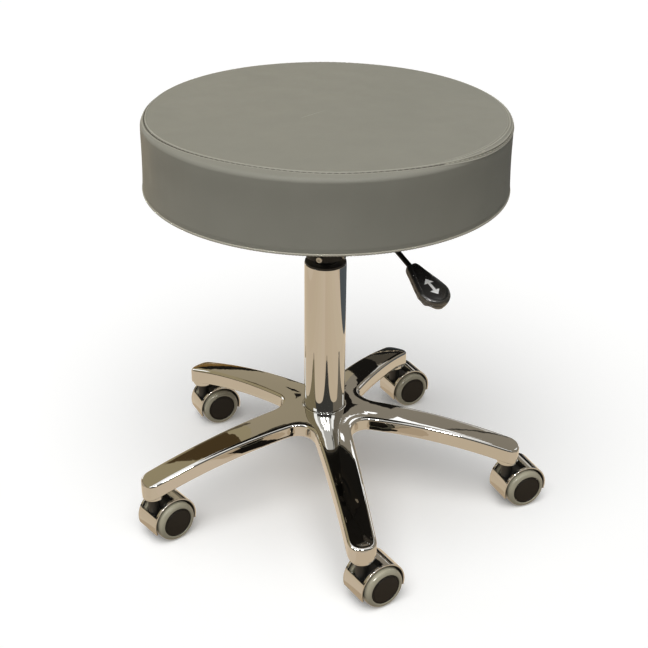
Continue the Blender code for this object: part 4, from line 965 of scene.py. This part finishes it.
# stage: a pale floor, the warm room that the chrome mirrors, lamps and camera
stage = {
    "floor": "#fdfdfc", "floorSide": 30.0,    # the floor's side in metres
    "floorLift": 0.10, "floorRoughness": 0.9, "world": "#ffffff", "worldFill": 0.20,
    "key": {"strength": 2.40, "spreadDeg": 55, "from": (-0.07, -0.45, 1.0)},
    "fill": {"strength": 0.40, "spreadDeg": 60, "from": (-1.0, -0.2, 0.4)}}
cameraPlace = {"at": (-1.30, -1325.74, 929.10), "pitch": 62.35, "roll": 0.4506, "lens": 68.87, "sensor": 36}

# what the chrome mirrors, on a dome round the stool: name, azimuth from +X, elevation, sRGB colour, brightness and
# distance in metres of each card; a last number leans it by so many degrees up for each degree round
roomCards = [
    ("ceilingPale", (0, 360), (60, 90), "#ffffff", 1.4, 3.8),
    ("beamGrey", (-60, 88), (68, 86), "#8c8070", 1.0, 3.6),
    ("wallFrontPale", (180, 360), (38, 60), "#e8e6e2", 1.35, 3.7),
    ("wallFrontRightShade", (322, 360), (45, 60), "#8a8270", 1.0, 3.5),
    ("wallFrontShade", (180, 360), (0, 38), "#5a5955", 1.0, 3.7),
    ("wallRightGrey", (-40, 86), (0, 60), "#9d9485", 1.0, 3.6),
    ("wallBackOlive", (86, 108), (0, 60), "#b2a58b", 1.0, 3.6),
    ("wallLeftOlive", (108, 222), (0, 60), "#b1a381", 1.0, 3.6),
    ("cupboardBrown", (111.5, 124.5), (31, 58), "#54432a", 1.0, 3.4),
    ("cupboardSide", (107, 118), (26, 31), "#6a5f4c", 1.0, 3.4),
    ("windowBack", (50, 72), (42, 54), "#ffffff", 1.9, 3.4),
    ("windowBackSmall", (77.5, 80.5), (43, 46), "#ffffff", 1.9, 3.4),
    ("windowRight", (36, 47), (16, 31), "#ffffff", 1.9, 3.4),
    ("windowLeft", (126, 143), (5, 23), "#ffffff", 1.9, 3.4),
    ("windowFrontLeft", (206, 226), (28, 60), "#ffffff", 2.4, 3.4),
    ("windowFrontRight", (314, 334), (37, 43), "#ffffff", 2.4, 3.4),
    ("lampFrontLeft", (250, 255), (39, 44), "#ffffff", 90.0, 3.3),
    ("lampFront", (267, 272), (39, 44), "#ffffff", 90.0, 3.3),
    ("lampFrontRight", (285, 290), (39, 44), "#ffffff", 90.0, 3.3),
    ("railPale", (62, 80), (13.5, 21), "#d2cec7", 1.15, 3.4),
    ("postDark", (61.2, 62.4), (13, 40), "#4a463f", 1.0, 3.3),
    ("cabinetDark", (62, 79), (0, 12.5), "#1a1815", 1.0, 3.35),
    ("boardBrown", (79, 92), (3, 12), "#524c42", 1.0, 3.4),
    ("doorDark", (77, 90), (17, 28), "#1d1b18", 1.0, 3.3, -1.3),
    ("doorwayDark", (83.5, 89), (26, 40), "#1d1b18", 1.0, 3.3),
    ("frameDark", (95, 98), (26.5, 29.5), "#1d1b18", 1.0, 3.3),
    ("skirtDark", (79, 92), (0, 3), "#1f1e1b", 1.0, 3.25),
    ("benchDark", (96, 108), (5, 10), "#201d18", 1.0, 3.3),
    ("benchBrown", (97, 112), (0, 5), "#8a6a3c", 1.0, 3.3),
    ("skirtLeftDark", (146, 200), (0, 9), "#1f1c18", 1.0, 3.3)]

# flat cards just under the floor: name, sRGB colour, depth and corners
floorCards = [
    ("floorWarm", "#e7d3b7", 3, [(-3600, -3600), (3600, -3600), (3600, 3600), (-3600, 3600)]),
    ("matDark", "#5d6266", 2, [(740, -164), (2600, -164), (2600, 2600), (-100, 2600), (-100, 753)]),
    ("armShadeDark", "#1a1713", 0.5, [(0, -107), (59, -96), (73, -205), (20, -215)]),
    ("floorBackDark", "#2a2b29", 1.5, [(-40, 800), (420, 800), (420, 2600), (-40, 2600)]),
    ("floorBackBrown", "#7a6440", 1.5, [(-760, 650), (-100, 753), (-100, 2600), (-760, 2600)])]
boards = {"count": 12, "first": -780, "pitch": 130, "width": 128, "half": 2600, "depth": 2.5,
          "colours": ("#ebd7bd", "#e5d1b4", "#e9d6ba", "#e4cfb3", "#e7d3b7")}
for n in range(boards["count"]):
    low, far = boards["first"] + boards["pitch"] * n, boards["half"]
    high = low + boards["width"]
    floorCards.append((f"boardWarm_{n + 1}", boards["colours"][n * 3 % 5], boards["depth"],
                       [(low, -far), (high, -far), (high, far), (low, far)]))
casterShade = {"radius": 58, "colour": "#cdb698", "depth": 1}
for n, heading in enumerate(caster["headings"]):
    stemX, stemY = onCircle(base["stemCircle"], armAngle(n))
    trailX, trailY = onCircle(caster["trail"], heading)
    floorCards.append((f"casterShade_{n + 1}", casterShade["colour"], casterShade["depth"],
                       [(stemX + trailX + x, stemY + trailY + y) for x, y in circle(casterShade["radius"], 32)]))


def addCard(name, colour, level, points, faces):
    # a glowing card that only reflections see
    material = bpy.data.materials.new(name)
    material.use_nodes = True
    tree = material.node_tree
    tree.nodes.clear()
    glow = addNode(tree, "Emission", {"Color": toLinear(colour), "Strength": level})
    addNode(tree, "OutputMaterial", links={"Surface": glow.outputs["Emission"]})
    material.cycles.emission_sampling = "NONE"
    card = bpy.data.objects.new(name, makeMesh(name, (points, faces), material))
    scene.collection.objects.link(card)
    card.visible_camera = card.visible_diffuse = card.visible_shadow = False
    card.visible_transmission = card.visible_volume_scatter = False


def addRoomCard(name, azimuth, elevation, colour, level, distance, lean=0):
    # a patch of a sphere round the stool
    rows, steps, far = 16, 48, distance / mm
    points, faces = [], []
    for rise in spread(*elevation, rows):
        for turn in spread(*azimuth, steps):
            out, z = onCircle(far, rise + lean * (turn - azimuth[0]))
            points.append((*onCircle(out, turn), z))
    for i in range(rows):
        for k in range(steps):
            a = i * (steps + 1) + k
            faces.append((a, a + 1, a + steps + 2, a + steps + 1))
    addCard(name, colour, level, points, faces)


def seenDirectly(tree):
    # 1 for a ray from the camera, off a mirror or through glass, 0 for soft light
    rays = addNode(tree, "LightPath").outputs
    most = addNode(tree, "Math", {"operation": "MAXIMUM"}, {0: rays["Is Camera Ray"], 1: rays["Is Glossy Ray"]})
    most = addNode(tree, "Math", {"operation": "MAXIMUM"}, {0: most.outputs[0], 1: rays["Is Transmission Ray"]})
    return most.outputs[0]


def makeStage():
    s = stage
    half = s["floorSide"] / 2 / mm
    floorMaterial = bpy.data.materials.new("floorPaleMatt")
    floorMaterial.use_nodes = True
    tree = floorMaterial.node_tree
    shader = tree.nodes["Principled BSDF"]
    shader.inputs["Base Color"].default_value = toLinear(s["floor"])
    shader.inputs["Roughness"].default_value = s["floorRoughness"]
    shader.inputs["Specular IOR Level"].default_value = 0.0    # dead matt, so that it shows none of the room
    shader.inputs["Emission Color"].default_value = toLinear("#ffffff")
    glow = addNode(tree, "MapRange", {"To Max": s["floorLift"]}, {"Value": seenDirectly(tree)})
    tree.links.new(glow.outputs["Result"], shader.inputs["Emission Strength"])
    corners = [(-half, -half, 0), (half, -half, 0), (half, half, 0), (-half, half, 0)]
    floor = bpy.data.objects.new("floor", makeMesh("floor", (corners, [(0, 1, 2, 3)]), floorMaterial))
    scene.collection.objects.link(floor)
    floor.visible_glossy = False    # the chrome sees the warm floor card instead
    floor.visible_diffuse = False    # so that the pale floor does not light the stool from below
    for card in roomCards:
        addRoomCard(*card)
    for name, colour, depth, corners in floorCards:
        addCard(name, colour, 1.0, [(x, y, -depth) for x, y in corners], [tuple(range(len(corners)))])
    world = bpy.data.worlds.new("paleRoom")
    scene.world = world
    world.use_nodes = True
    tree = world.node_tree
    tree.nodes.clear()
    level = addNode(tree, "MapRange", {"To Min": s["worldFill"], "To Max": 1.0}, {"Value": seenDirectly(tree)})
    sky = addNode(tree, "Background", {"Color": toLinear(s["world"])}, {"Strength": level.outputs["Result"]})
    addNode(tree, "OutputWorld", links={"Surface": sky.outputs["Background"]})
    for name in ("key", "fill"):
        lamp = bpy.data.lights.new(name + "Lamp", "SUN")
        lamp.energy, lamp.angle = s[name]["strength"], math.radians(s[name]["spreadDeg"])
        holder = bpy.data.objects.new(name + "Lamp", lamp)
        holder.rotation_euler = Vector(s[name]["from"]).to_track_quat("Z", "Y").to_euler()
        scene.collection.objects.link(holder)


makeStage()

lens = bpy.data.cameras.new("photoCamera")
lens.lens, lens.sensor_width = cameraPlace["lens"], cameraPlace["sensor"]
camera = bpy.data.objects.new("photoCamera", lens)
camera.matrix_world = (Matrix.Translation(Vector(cameraPlace["at"]) * mm)
                       @ Matrix.Rotation(math.radians(cameraPlace["pitch"]), 4, "X")
                       @ Matrix.Rotation(math.radians(cameraPlace["roll"]), 4, "Z"))
scene.collection.objects.link(camera)
scene.camera = camera
scene.view_settings.view_transform = "Standard"
print("stage made")
